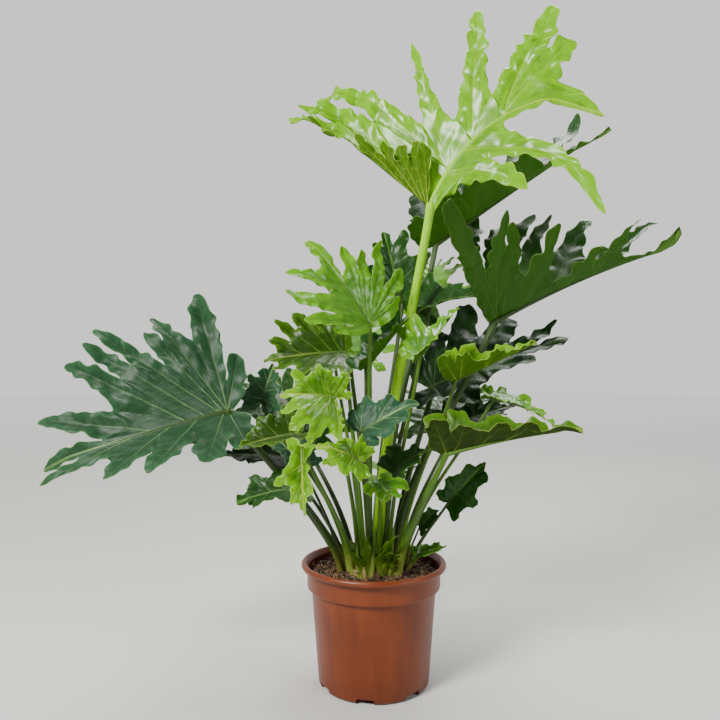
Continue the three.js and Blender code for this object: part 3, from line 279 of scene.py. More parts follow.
# %% The large leaves
LEAVES = [
  {
    "name": "leaf_top", "tone": "lime", "joint": [80, -25, 685], "tip": [286, -75, 828],
    "face": [-0.1, -0.9, 0.42], "base": [4, -2], "stalk": [9, 6.5], "lean": 0.1,
    "bend": 14, "fold": 8, "arch": 0.04, "end": [0.6, 0.045, 0.2, -0.4],
    "swerve": 0.17, "flap": {"angle": 102, "turn": 158, "radius": 2.5},
    "left": [
      [0, 167, 0.28, 0.07, 0], [0, 146, 0.31, 0.06, -0.05], [0, 128, 0.37, 0.05, -0.05],
      [0, 116, 0.49, 0.05, 0], [0, 108, 0.71, 0.04, 0], [0, 102, 1.28, 0.03, 0, 0.1],
      [0, 95, 1.33, 0.044, 0.05, 0.15], [0.2, 99, 1.25, 0.04, 0.05, 0.15], [0.2, 72, 0.81, 0.042, 0.05],
      [0.39, 56, 0.86, 0.056, 0, 0.05], [0.59, 46, 0.82, 0.058, 0, 0.05], [0.59, 32, 0.64, 0.045, 0, 0.05],
    ],
    "right": [[0.15, 48, 0.56, 0.06, 0.05, 0.2], [0.31, 46, 0.84, 0.05, 0.05, 0.4]],
    "cut_left": [0.84, 0.85, 0.85, 0.85, 0.85, 0.74, 0.52, 0.4, 0.24, 0.24, 0.74, 0.86],
    "cut_right": [0.42, 0.3],
  },
  {
    "name": "leaf_behind_top", "tone": "dark", "joint": [101, 95, 650], "tip": [392, 130, 847],
    "face": [-0.3, 0.12, 0.94], "base": [10, 22], "stalk": [6, 4.5], "lean": 0.1,
    "bend": 2, "fold": 46, "end": [0.6, 0.04, 0],
    "left": [
      [0, 66, 0.9, 0.11, 0], [0.05, 59, 0.8, 0.09, 0], [0.2, 55, 0.68, 0.07, 0],
      [0.35, 45, 0.54, 0.05, 0], [0.5, 25, 0.57, 0.045, 0],
    ],
    "right": [
      [0, 112, 0.2, 0.06, 0], [0.05, 77, 0.28, 0.09, 0], [0.2, 64, 0.27, 0.06, 0], [0.4, 41, 0.22, 0.05, 0],
    ],
    "cut_left": [0.7, 0.6, 0.6, 0.6, 0.5], "cut_right": [0.7, 0.6, 0.6, 0.6],
  },
  {
    "name": "leaf_right_large", "tone": "dark", "joint": [176, -10, 523], "tip": [468, 30, 638],
    "face": [-0.36, -0.02, 0.93], "base": [24, -4], "stalk": [7, 5], "lean": 0.3,
    "bend": 12, "fold": 50, "end": [0.62, 0.03, -0.2],
    "left": [
      [0, 74, 1.03, 0.06, 0, -0.06], [0, 64, 0.86, 0.048, 0, -0.1], [0.04, 55, 0.73, 0.046, 0, -0.1],
      [0.12, 52, 0.65, 0.046, 0, -0.1], [0.3, 47, 0.53, 0.05, 0, -0.12], [0.5, 27, 0.56, 0.03, 0],
    ],
    "right": [
      [0, 99, 0.85, 0.05, 0], [0, 83, 0.6, 0.046, 0, -0.05], [0.03, 76, 0.48, 0.034, 0],
      [0.1, 51, 0.39, 0.05, -0.1, -0.1], [0.34, 40, 0.27, 0.032, 0.1], [0.5, 50, 0.35, 0.032, 0.1],
    ],
    "cut_left": [0.4, 0.42, 0.42, 0.42, 0.4, 0.35], "cut_right": [0.34, 0.8, 0.55, 0.42, 0.4, 0.35],
  },
  {
    "name": "leaf_left_large", "tone": "blue", "joint": [-209, -20, 392], "tip": [-461, -60, 318],
    "face": [0.18, -0.8, 0.57], "base": [-38, -6], "stalk": [7, 5], "lean": 0.75,
    "bend": 12, "fold": 14, "arch": 0.08, "end": [0.6, 0.055, 0.12],
    "left": [
      [0, 101, 0.29, 0.1, 0], [0.02, 64, 0.33, 0.1, 0], [0.16, 43, 0.4, 0.055, 0],
      [0.3, 31, 0.43, 0.045, 0], [0.5, 14, 0.51, 0.03, 0],
    ],
    "right": [
      [0, 112, 0.33, 0.08, 0], [0, 89, 0.72, 0.075, 0], [0, 68, 0.73, 0.05, 0],
      [0.02, 62, 0.68, 0.04, 0], [0.04, 50, 0.83, 0.055, 0], [0.12, 48, 0.79, 0.045, 0],
      [0.22, 43, 0.76, 0.05, 0], [0.4, 24, 0.62, 0.06, 0],
    ],
    "cut_left": [0.6] * 5, "cut_right": [0.55, 0.66, 0.8, 0.62, 0.66, 0.62, 0.52, 0.4],
  },
  {
    "name": "leaf_star", "tone": "mid", "joint": [-7, -75, 512], "tip": [-87, -115, 621],
    "face": [0.05, -0.74, 0.66], "base": [-6, -20], "stalk": [4, 3], "lean": 0.1,
    "bend": 18, "fold": 12, "end": [0.55, 0.08, 0.1],
    "left": [
      [0, 61, 0.5, 0.09, 0], [0, 52, 0.82, 0.08, 0], [0.12, 44, 0.95, 0.085, 0],
      [0.42, 42, 0.66, 0.06, 0.1],
    ],
    "right": [
      [0, 95, 0.49, 0.1, 0], [0, 75, 0.73, 0.09, 0], [0, 50, 0.85, 0.08, 0],
      [0.04, 33, 0.68, 0.07, 0], [0.1, 21, 0.7, 0.07, 0],
    ],
    "cut_left": [0.5, 0.5, 0.5, 0.62], "cut_right": [0.62, 0.55, 0.62, 0.66, 0.5],
  },
]
print("leaves so far:", len(LEAVES))

# %% Leaves on the right
LEAVES += [
  {
    "name": "leaf_right_low", "tone": "olive", "joint": [96, -82, 340], "tip": [270, -109, 374],
    "face": [-0.05, 0.05, 1], "base": [32, -32], "stalk": [6, 4], "lean": 0.35,
    "bend": 10, "fold": 58, "end": [0.58, 0.075, 0],
    "left": [
      [0, 96, 0.42, 0.1, 0], [0.05, 74, 0.38, 0.09, 0], [0.25, 55, 0.34, 0.07, 0],
      [0.45, 22, 0.33, 0.05, 0],
    ],
    "right": [
      [0, 92, 0.35, 0.11, 0], [0.05, 58, 0.27, 0.09, 0], [0.25, 40, 0.26, 0.07, 0],
      [0.42, 25, 0.28, 0.05, 0],
    ],
    "cut_left": [0.75] * 4, "cut_right": [0.75] * 4,
  },
  {
    "name": "leaf_small_lime", "tone": "lime", "joint": [115, -34, 437], "tip": [225, -48, 490],
    "face": [-0.42, 0, 0.9], "base": [33, -19], "stalk": [3.5, 2.2], "lean": 0.3,
    "bend": -5, "fold": 48, "end": [0.58, 0.075, 0],
    "left": [[0, 84, 0.57, 0.12, 0], [0.05, 59, 0.6, 0.1, 0], [0.35, 36, 0.41, 0.07, 0]],
    "right": [[0, 95, 0.55, 0.12, 0], [0.05, 71, 0.48, 0.1, 0], [0.35, 49, 0.28, 0.07, 0]],
    "cut_left": [0.72] * 3, "cut_right": [0.72] * 3,
  },
  {
    "name": "leaf_droop_right", "tone": "mid", "joint": [170, -18, 408], "tip": [260, -28, 368],
    "face": [0.25, -0.2, 0.95], "base": [41, 6], "stalk": [3.5, 2.2], "lean": 0.4,
    "bend": 35, "fold": 20, "end": [0.58, 0.075, 0],
    "left": fan(115, 32, [0.38, 0.45, 0.4, 0.3], 0.09),
    "right": fan(115, 35, [0.35, 0.4, 0.3, 0.22], 0.09),
    "cut_left": [0.72] * 4, "cut_right": [0.72] * 4,
  },
  {
    "name": "leaf_behind_right", "tone": "deep", "joint": [93, 60, 425], "tip": [310, 85, 500],
    "face": [-0.2, -0.65, 0.75], "base": [28, 14], "stalk": [5.5, 4], "lean": 0.3,
    "bend": 8, "fold": 15, "end": [0.58, 0.075, 0],
    "left": [
      [0, 100, 0.31, 0.1, 0], [0, 62, 0.49, 0.1, 0], [0.05, 49, 0.71, 0.09, 0],
      [0.25, 35, 0.64, 0.09, 0], [0.5, 17, 0.5, 0.05, 0],
    ],
    "right": [[0, 130, 0.25, 0.1, 0], [0.1, 80, 0.36, 0.09, 0], [0.3, 22, 0.41, 0.06, 0]],
    "cut_left": [0.7, 0.66, 0.6, 0.55, 0.5], "cut_right": [0.7, 0.6, 0.5],
  },
  {
    "name": "leaf_gap_right", "tone": "deep", "joint": [127, 60, 365], "tip": [227, 80, 394],
    "face": [-0.1, -0.6, 0.8], "base": [40, 19], "stalk": [3.5, 2.5], "lean": 0.3,
    "bend": 15, "fold": 15, "end": [0.58, 0.075, 0],
    "left": fan(120, 35, [0.5, 0.5, 0.4, 0.3], 0.1),
    "right": fan(120, 35, [0.45, 0.45, 0.4, 0.3], 0.1),
    "cut_left": [0.72] * 4, "cut_right": [0.72] * 4,
  },
  {
    "name": "leaf_right_lower", "tone": "dark", "joint": [115, 30, 255], "tip": [167, 20, 313],
    "face": [0.2, -0.75, 0.6], "base": [50, -2], "stalk": [3, 2], "lean": 0.5,
    "bend": 15, "fold": 20, "end": [0.58, 0.09, 0],
    "left": fan(105, 38, [0.3, 0.36, 0.34], 0.12),
    "right": fan(115, 38, [0.42, 0.5, 0.42], 0.12),
    "cut_left": [0.8] * 3, "cut_right": [0.8] * 3,
  },
  {
    "name": "leaf_sprig", "tone": "dark", "joint": [71, 38, 215], "tip": [98, 32, 240],
    "face": [0.1, -0.8, 0.6], "base": [48, 10], "stalk": [1.8, 1.3], "lean": 0.3,
    "bend": 10, "fold": 20, "end": [0.58, 0.1, 0],
    "left": fan(105, 48, [0.5, 0.45], 0.14),
    "right": fan(105, 48, [0.5, 0.45], 0.14),
    "cut_left": [0.8] * 2, "cut_right": [0.8] * 2,
  },
  {
    "name": "leaf_rim", "tone": "mid", "joint": [62, -12, 184], "tip": [104, -24, 199],
    "face": [0, -0.5, 0.85], "base": [46, -12], "stalk": [1.8, 1.3], "lean": 0.4,
    "bend": 15, "fold": 20, "end": [0.58, 0.1, 0],
    "left": fan(105, 48, [0.4, 0.35], 0.13),
    "right": fan(105, 48, [0.4, 0.35], 0.13),
    "cut_left": [0.8] * 2, "cut_right": [0.8] * 2,
  },
]
print("leaves so far:", len(LEAVES))

# %% Leaves in the middle
LEAVES += [
  {
    "name": "leaf_fork", "tone": "dark", "joint": [24, -62, 313], "tip": [72, -82, 346],
    "face": [0, -0.7, 0.7], "base": [13, -25], "stalk": [3, 2], "lean": 0.1,
    "bend": 15, "fold": 20, "end": [0.58, 0.08, 0],
    "left": fan(115, 42, [0.6, 0.6, 0.4], 0.12),
    "right": fan(115, 42, [0.5, 0.5, 0.4], 0.12),
    "cut_left": [0.75] * 3, "cut_right": [0.75] * 3,
  },
  {
    "name": "leaf_centre_blue", "tone": "blue", "joint": [-19, -95, 370], "tip": [55, -110, 412],
    "face": [-0.1, -0.75, 0.65], "base": [-2, -34], "stalk": [3, 2], "lean": 0.1,
    "bend": 15, "fold": 12, "end": [0.6, 0.1, 0.1],
    "left": [[0, 96, 0.42, 0.12, 0], [0, 61, 0.61, 0.13, 0], [0.3, 34, 0.48, 0.1, 0]],
    "right": [[0, 75, 0.37, 0.13, 0], [0.15, 46, 0.5, 0.13, 0], [0.4, 30, 0.45, 0.09, 0]],
    "cut_left": [0.82] * 3, "cut_right": [0.82] * 3,
  },
  {
    "name": "leaf_centre_lime", "tone": "lime", "joint": [-24, -148, 343], "tip": [-71, -176, 363],
    "face": [-0.2, -0.75, 0.62], "base": [-14, -34], "stalk": [3, 2], "lean": 0.1,
    "bend": 20, "fold": 10, "end": [0.6, 0.12, 0.1],
    "left": [
      [0, 150, 0.6, 0.13, 0], [0, 90, 0.6, 0.13, 0], [0.1, 58, 0.72, 0.12, 0],
      [0.4, 42, 0.68, 0.1, 0],
    ],
    "right": [[0, 145, 0.6, 0.13, 0], [0, 105, 0.7, 0.12, 0], [0.1, 51, 0.45, 0.13, 0]],
    "cut_left": [0.8] * 4, "cut_right": [0.8, 0.6, 0.8],
  },
  {
    "name": "leaf_centre_low", "tone": "mid", "joint": [6, -92, 306], "tip": [18, -112, 284],
    "face": [0, -0.72, 0.7], "base": [8, -40], "stalk": [2.6, 2], "lean": 0.2,
    "bend": 20, "fold": 14, "end": [0.5, 0.25, 0.1],
    "left": [[0, 101, 0.62, 0.25, 0], [0, 54, 1.3, 0.27, 0], [0.4, 35, 0.85, 0.2, 0]],
    "right": [[0, 121, 0.5, 0.25, 0], [0, 66, 0.97, 0.27, 0], [0.4, 45, 0.69, 0.2, 0]],
    "cut_left": [0.8] * 3, "cut_right": [0.8] * 3,
  },
  {
    "name": "leaf_curled_lime", "tone": "lime", "joint": [-54, -110, 416], "tip": [-118, -150, 422],
    "face": [0.05, -0.8, 0.6], "base": [-22, -26], "stalk": [3.4, 2.4], "lean": 0.15,
    "bend": 20, "fold": 12, "end": [0.6, 0.11, 0.1],
    "left": [
      [0, 76, 1.05, 0.12, -0.1], [0.08, 56, 1.1, 0.11, 0.1], [0.25, 44, 1.1, 0.12, 0],
      [0.45, 31, 0.73, 0.1, 0],
    ],
    "right": [
      [0, 165, 0.42, 0.13, 0], [0, 128, 0.95, 0.12, 0], [0.08, 81, 0.67, 0.14, 0],
      [0.35, 51, 0.59, 0.12, 0],
    ],
    "cut_left": [0.7, 0.75, 0.75, 0.78], "cut_right": [0.78, 0.7, 0.78, 0.78],
  },
]
print("leaves so far:", len(LEAVES))

# %% Leaves above the crown and on the left
LEAVES += [
  {
    "name": "leaf_left_olive", "tone": "olive", "joint": [-41, 5, 477], "tip": [-160, -5, 463],
    "face": [-0.2, -0.82, 0.53], "base": [-18, -8], "stalk": [4, 3], "lean": 0.15,
    "bend": 20, "fold": 25, "end": [0.58, 0.075, 0],
    "left": [
      [0, 84, 0.5, 0.1, 0], [0.08, 63, 0.66, 0.1, 0], [0.28, 50, 0.59, 0.09, 0],
      [0.5, 32, 0.44, 0.07, 0],
    ],
    "right": [
      [0, 91, 0.39, 0.1, 0], [0.05, 62, 0.5, 0.09, 0], [0.15, 51, 0.68, 0.08, 0],
      [0.3, 44, 0.68, 0.07, 0], [0.5, 33, 0.46, 0.07, 0],
    ],
    "cut_left": [0.7] * 4, "cut_right": [0.7] * 5,
  },
  {
    "name": "leaf_left_inner", "tone": "olive", "joint": [-62, 62, 481], "tip": [-96, 56, 524],
    "face": [0.1, -0.6, 0.8], "base": [-18, 10], "stalk": [3.5, 2.5], "lean": 0.1,
    "bend": 10, "fold": 20, "end": [0.58, 0.1, 0],
    "left": fan(130, 35, [0.7, 0.7, 0.6, 0.5], 0.13),
    "right": fan(130, 35, [0.8, 0.8, 0.7, 0.5], 0.13),
    "cut_left": [0.76] * 4, "cut_right": [0.76] * 4,
  },
  {
    "name": "leaf_folded", "tone": "dark", "joint": [-12, -38, 455], "tip": [49, -36, 526],
    "face": [-0.5, -0.35, 0.78], "base": [-8, -10], "stalk": [3.4, 2.4], "lean": 0.1,
    "bend": -8, "fold": 46, "end": [0.58, 0.08, 0],
    "left": fan(110, 40, [0.36, 0.42, 0.35], 0.11),
    "right": fan(100, 40, [0.3, 0.42, 0.35], 0.1),
    "cut_left": [0.78] * 3, "cut_right": [0.78] * 3,
  },
  {
    "name": "leaf_striped", "tone": "mid", "joint": [62, -65, 470], "tip": [114, -62, 538],
    "face": [-0.6, -0.35, 0.72], "base": [21, -15], "stalk": [3.4, 2.4], "lean": 0.05,
    "bend": -6, "fold": 32, "end": [0.58, 0.08, 0],
    "left": [
      [0, 108, 0.42, 0.11, 0], [0, 76, 0.78, 0.12, 0], [0.05, 49, 0.72, 0.11, 0],
      [0.35, 27, 0.45, 0.09, 0],
    ],
    "right": fan(110, 38, [0.5, 0.45, 0.35], 0.1),
    "cut_left": [0.74] * 4, "cut_right": [0.74] * 3,
  },
  {
    "name": "leaf_arch", "tone": "dark", "joint": [82, 0, 544], "tip": [177, -20, 552],
    "face": [-0.1, -0.5, 0.85], "base": [15, 9], "stalk": [4, 3], "lean": 0.1,
    "bend": 40, "fold": 25, "end": [0.58, 0.075, 0],
    "left": fan(125, 40, [0.62, 0.6, 0.4, 0.3], 0.1),
    "right": fan(115, 40, [0.3, 0.3, 0.25, 0.2], 0.09),
    "cut_left": [0.7] * 4, "cut_right": [0.7] * 4,
  },
  {
    "name": "leaf_behind_stem", "tone": "dark", "joint": [45, 60, 550], "tip": [16, 70, 666],
    "face": [0, -0.7, 0.7], "base": [0, 14], "stalk": [4.5, 3.2], "lean": 0.1,
    "bend": 15, "fold": 25, "end": [0.58, 0.075, 0],
    "left": fan(130, 35, [0.5, 0.55, 0.5, 0.4], 0.09),
    "right": fan(130, 35, [0.6, 0.62, 0.6, 0.5], 0.09),
    "cut_left": [0.62] * 4, "cut_right": [0.62] * 4,
  },
  {
    "name": "leaf_low_left", "tone": "dark", "joint": [-109, -50, 288], "tip": [-188, -70, 271],
    "face": [-0.1, -0.5, 0.85], "base": [-46, -22], "stalk": [3, 2], "lean": 0.6,
    "bend": 20, "fold": 18, "end": [0.6, 0.1, 0.1],
    "left": [[0, 100, 0.6, 0.13, 0], [0.15, 72, 0.53, 0.12, 0], [0.45, 52, 0.45, 0.09, 0]],
    "right": [[0, 119, 0.33, 0.13, 0], [0.15, 80, 0.44, 0.12, 0], [0.4, 56, 0.48, 0.1, 0]],
    "cut_left": [0.8] * 3, "cut_right": [0.8] * 3,
  },
  {
    "name": "leaf_lime_tail", "tone": "lime", "joint": [-94, -120, 353], "tip": [-90, -145, 270],
    "face": [-0.3, -0.85, 0.4], "base": [-30, -36], "stalk": [2.8, 2], "lean": 0.3,
    "bend": 10, "fold": 24, "end": [0.6, 0.07, 0.1],
    "left": [[0, 80, 0.27, 0.09, 0], [0.4, 34, 0.36, 0.08, 0]],
    "right": [[0, 114, 0.27, 0.09, 0], [0.25, 56, 0.53, 0.09, 0], [0.5, 30, 0.38, 0.07, 0]],
    "cut_left": [0.7] * 2, "cut_right": [0.7] * 3,
  },
  {
    "name": "leaf_left_back", "tone": "deep", "joint": [-134, 45, 316], "tip": [-238, 30, 322],
    "face": [0, -0.55, 0.83], "base": [-40, 14], "stalk": [3.5, 2.5], "lean": 0.5,
    "bend": 15, "fold": 20, "end": [0.58, 0.075, 0],
    "left": fan(125, 35, [0.4, 0.4, 0.35, 0.28], 0.1),
    "right": fan(125, 35, [0.4, 0.4, 0.35, 0.28], 0.1),
    "cut_left": [0.8] * 4, "cut_right": [0.8] * 4,
  },
  {
    "name": "leaf_left_mid", "tone": "olive", "joint": [-111, -55, 363], "tip": [-182, -80, 348],
    "face": [-0.15, -0.6, 0.8], "base": [-34, -20], "stalk": [3.4, 2.4], "lean": 0.35,
    "bend": 15, "fold": 25, "end": [0.58, 0.08, 0],
    "left": fan(125, 35, [0.5, 0.5, 0.45, 0.35], 0.12),
    "right": fan(130, 35, [0.55, 0.6, 0.55, 0.4], 0.12),
    "cut_left": [0.8] * 4, "cut_right": [0.8] * 4,
  },
  {
    "name": "leaf_left_blue", "tone": "blue", "joint": [-105, 8, 313], "tip": [-147, 0, 355],
    "face": [0, -0.7, 0.7], "base": [-48, 8], "stalk": [2.8, 2.2], "lean": 0.35,
    "bend": 15, "fold": 20, "end": [0.58, 0.1, 0],
    "left": fan(125, 42, [0.6, 0.6, 0.5], 0.14),
    "right": fan(125, 42, [0.6, 0.6, 0.5], 0.14),
    "cut_left": [0.8] * 3, "cut_right": [0.8] * 3,
  },
  {
    "name": "leaf_left_rear", "tone": "blue", "joint": [-170, 50, 401], "tip": [-152, 50, 459],
    "face": [0.1, -0.7, 0.7], "base": [-29, 4], "stalk": [4, 3], "lean": 0.4,
    "bend": 10, "fold": 20, "end": [0.58, 0.1, 0],
    "left": fan(130, 38, [0.65, 0.7, 0.6, 0.4], 0.13),
    "right": fan(130, 38, [0.6, 0.6, 0.5, 0.4], 0.13),
    "cut_left": [0.74] * 4, "cut_right": [0.74] * 4,
  },
]
print("leaves so far:", len(LEAVES))

# %% Leaves at the back
LEAVES += [
  {
    "name": "leaf_back_left", "tone": "dark", "joint": [-120, 140, 349], "tip": [-181, 230, 444],
    "face": [-0.1, -0.2, 0.97], "base": [-28, 24], "stalk": [4.5, 3.2], "lean": 0.4,
    "bend": 30, "fold": 20, "end": [0.58, 0.075, 0],
    "left": fan(140, 30, [0.62, 0.78, 0.75, 0.62, 0.42], 0.075),
    "right": fan(140, 30, [0.62, 0.78, 0.75, 0.62, 0.42], 0.075),
    "cut_left": [0.5] * 5, "cut_right": [0.5] * 5,
  },
  {
    "name": "leaf_back_mid", "tone": "mid", "joint": [-38, 125, 480], "tip": [-64, 248, 522],
    "face": [0, 0.1, 0.97], "base": [-6, 31], "stalk": [4.5, 3.2], "lean": 0.2,
    "bend": 30, "fold": 22, "end": [0.58, 0.075, 0],
    "left": fan(140, 30, [0.62, 0.78, 0.75, 0.62, 0.42], 0.075),
    "right": fan(140, 30, [0.6, 0.7, 0.72, 0.62, 0.42], 0.075),
    "cut_left": [0.5] * 5, "cut_right": [0.5] * 5,
  },
  {
    "name": "leaf_back_right", "tone": "dark", "joint": [114, 150, 356], "tip": [197, 260, 392],
    "face": [0.15, 0, 0.97], "base": [24, 31], "stalk": [4, 3], "lean": 0.4,
    "bend": 30, "fold": 22, "end": [0.58, 0.075, 0],
    "left": fan(140, 30, [0.62, 0.78, 0.75, 0.62, 0.42], 0.075),
    "right": fan(140, 30, [0.62, 0.78, 0.75, 0.62, 0.42], 0.075),
    "cut_left": [0.5] * 5, "cut_right": [0.5] * 5,
  },
  {
    "name": "leaf_back_low", "tone": "mid", "joint": [12, 110, 287], "tip": [48, 198, 259],
    "face": [0.1, -0.1, 0.97], "base": [4, 42], "stalk": [3.5, 2.5], "lean": 0.3,
    "bend": 30, "fold": 20, "end": [0.58, 0.08, 0],
    "left": fan(120, 32, [0.45, 0.62, 0.6, 0.42], 0.1),
    "right": fan(120, 32, [0.45, 0.62, 0.6, 0.42], 0.1),
    "cut_left": [0.6] * 4, "cut_right": [0.6] * 4,
  },
  {
    "name": "leaf_back_high", "tone": "mid", "joint": [80, 140, 565], "tip": [123, 230, 641],
    "face": [-0.1, -0.3, 0.95], "base": [12, 34], "stalk": [4.5, 3.2], "lean": 0.1,
    "bend": 25, "fold": 22, "end": [0.58, 0.075, 0],
    "left": fan(138, 32, [0.66, 0.8, 0.72, 0.5], 0.085),
    "right": fan(138, 32, [0.66, 0.8, 0.72, 0.5], 0.085),
    "cut_left": [0.5] * 4, "cut_right": [0.5] * 4,
  },
]

# %% Shoots and stubs
SHOOTS = [
    {"name": "shoot_front", "tone": "lime", "foot": [-22, -40], "top": [-24, -46, 214], "radius": 4},
    {"name": "shoot_middle", "tone": "mid", "foot": [-4, -43], "top": [2, -52, 236], "radius": 3.6},
    {"name": "shoot_right", "tone": "mid", "foot": [21, -36], "top": [28, -50, 240], "radius": 3.4},
    {"name": "old_leaf_base", "tone": "straw", "foot": [-13, -45], "top": [-15, -50, 178], "radius": 3.2},
]
print(len(LEAVES), "leaves,", len(SHOOTS), "shoots and stubs")

# %% [markdown]
# ## From arrays to a mesh
# A piece is made as arrays of points, triangles and numbers for its finish. Points that two
# neighbouring strips share are merged, so the sheet has no seam, while the numbers stay with the
# triangle corners, so a pattern may jump from one lobe to the next.


# %% Making a piece
def make_piece(name, points, faces, maps, marks, materials, face_material=None):
    """Mesh object from points in metres and triangles. maps and marks hold a value per corner."""
    mesh = bpy.data.meshes.new(name)
    mesh.vertices.add(len(points))
    mesh.loops.add(faces.size)
    mesh.polygons.add(len(faces))
    mesh.vertices.foreach_set("co", np.ascontiguousarray(points, np.float32).ravel())
    mesh.loops.foreach_set("vertex_index", faces.astype(np.int32).ravel())
    mesh.polygons.foreach_set("loop_start", np.arange(0, faces.size, 3, dtype=np.int32))
    if face_material is not None:
        mesh.polygons.foreach_set("material_index", face_material.astype(np.int32))
    mesh.update(calc_edges=True)
    for key, values in maps.items():
        layer = mesh.uv_layers.new(name=key)
        layer.data.foreach_set("uv", np.ascontiguousarray(values, np.float32).ravel())
    for key, values in marks.items():
        layer = mesh.attributes.new(key, "FLOAT", "CORNER")
        layer.data.foreach_set("value", np.ascontiguousarray(values, np.float32).ravel())
    for material in materials:
        mesh.materials.append(material)
    mesh.shade_smooth()
    piece = bpy.data.objects.new(name, mesh)
    bpy.context.scene.collection.objects.link(piece)
    return piece


print("meshes before the first new piece:", len(bpy.data.meshes))


# %% Triangles
def grid_faces(columns, rows, start=0):
    """Two triangles for each cell of a grid of points that are stored column by column."""
    ids = start + np.arange(columns * rows).reshape(columns, rows)
    a, b, c, d = ids[:-1, :-1], ids[1:, :-1], ids[1:, 1:], ids[:-1, 1:]
    return np.stack([a, c, b, a, d, c], -1).reshape(-1, 3)


def open_faces(faces):
    """True for each triangle whose three points are all different."""
    a, b, c = faces.T
    return (a != b) & (b != c) & (a != c)


def point_normals(points, faces):
    """Unit normal of each point: the sum of its triangles' cross products, over its length."""
    p, q, r = (points[faces[:, k]] for k in range(3))
    cross = np.cross(q - p, r - p)
    normals = np.zeros_like(points)
    for k in range(3):
        np.add.at(normals, faces[:, k], cross)
    return normals / np.maximum(np.linalg.norm(normals, axis=1, keepdims=True), 1e-12)


print("triangles in a grid of 3 by 4 points:", len(grid_faces(3, 4)))

# %% [markdown]
# ## The lobes of half a leaf
# The midrib divides a leaf in two halves, and each half is cut into lobes. A lobe has a vein of its
# own that starts at a root on the midrib. Between two lobes the margin runs back into a bay. The
# end of the midrib counts as the last lobe of both halves, so the two halves meet there.

# %% Lobes and bays
BASE_NOTCH = 0.035


def half_lobes(leaf, side, length):
    """Lobes of one half in metres and radians; way is the cosine and sine of a lobe's angle."""
    end_root, end_half, end_curl, *more = leaf["end"]
    end_sweep = (more[0] if more else 0) * (1 if side == "left" else -1)
    given = [[*row, 0][:6] for row in leaf[side]]
    rows = np.array([*given, [end_root, 0, 1 - end_root, end_half, end_curl, end_sweep]], float)
    lobes = {"root": rows[:, 0] * length, "angle": np.radians(rows[:, 1]), "reach": rows[:, 2] * length,
             "half": rows[:, 3] * length, "curl": rows[:, 4], "sweep": rows[:, 5]}
    lobes["way"] = np.stack([np.cos(lobes["angle"]), np.sin(lobes["angle"])], -1)
    return lobes


def bay_bottoms(lobes, cuts, length):
    """Bottom of each bay: from halfway between two roots, along the mean of the two angles, by a
    share of the shorter lobe's reach. The first is the notch behind the joint with the stalk."""
    middle = (lobes["angle"][:-1] + lobes["angle"][1:]) / 2
    out = np.array(cuts) * np.minimum(lobes["reach"][:-1], lobes["reach"][1:])
    between = (lobes["root"][:-1] + lobes["root"][1:]) / 2
    bays = np.stack([between + out * np.cos(middle), out * np.sin(middle)], -1)
    return np.concatenate([[[-BASE_NOTCH * length, 0]], bays])


print("lobes in all:", sum(len(leaf[side]) + 1 for leaf in LEAVES for side in ("left", "right")))

# %% [markdown]
# ## The outline of a lobe
# The margin runs from the bottom of one bay out along a flank, round the tip and back into the next
# bay. Only a few points carry that shape: three shoulders on each flank, at a share of the way
# out, each with a share of the lobe's half width. A smooth curve through them (a Catmull-Rom
# spline) makes the bays and tips round. Two neighbours must not overlap, so a flank stops a little
# short of the line that parts its lobe from the next.

# %% A smooth curve
SPAN_SAMPLES = 24


def smooth_through(keys):
    """Catmull-Rom curve: in each span the cubic that leaves and arrives along its neighbours."""
    s = (np.arange(SPAN_SAMPLES) / SPAN_SAMPLES)[None, :, None]
    p0, p1, p2, p3 = (keys[k:len(keys) - 3 + k, None, :] for k in range(4))
    curve = 0.5 * (2 * p1 + (p2 - p0) * s + (2 * p0 - 5 * p1 + 4 * p2 - p3) * s ** 2
                   + (3 * p1 - p0 - 3 * p2 + p3) * s ** 3)
    return np.concatenate([curve.reshape(-1, 2), keys[-2:-1]])


print("samples on a curve through 4 points:", len(smooth_through(np.zeros((6, 2)))))


# %% Flanks
SHOULDERS = [(0.2, 0.98, 0.3), (0.58, 0.86, 0.0), (0.87, 0.52, 0.0)]
CLEAR = 0.006


def room_beside(lobe, beside, along):
    """How far a flank may reach at a distance along its lobe before it meets the line that parts
    the lobe from its neighbour: the distance to that line over the cosine between the two."""
    root, angle, way = lobe
    parting = (angle + beside[1]) / 2
    x = root + way[0] * along - (root + beside[0]) / 2
    away = abs(x * math.sin(parting) - way[1] * along * math.cos(parting))
    slope = math.cos(parting - angle)
    return away / slope if slope > 0.05 else math.inf


def flank(lobe, bottom, sign, beside, clear):
    """Shoulders of one flank from the bottom of its bay outwards. Each stands aside of the vein by
    the half width times its share, and near the bay partly by the bay's own distance."""
    root, angle, way, reach, half = lobe
    normal = np.array([-way[1], way[0]])
    centre = np.array([root, 0])
    start = max(0, (bottom - centre) @ way)
    off = abs((bottom - centre) @ normal)
    points = []
    for share, width, mix in SHOULDERS:
        along = start + share * (reach - start)
        room = max(0, room_beside((root, angle, way), beside, along) - clear)
        aside = min(half * width * (1 - mix) + off * mix, room)
        points.append(centre + way * along + normal * sign * aside)
    return points


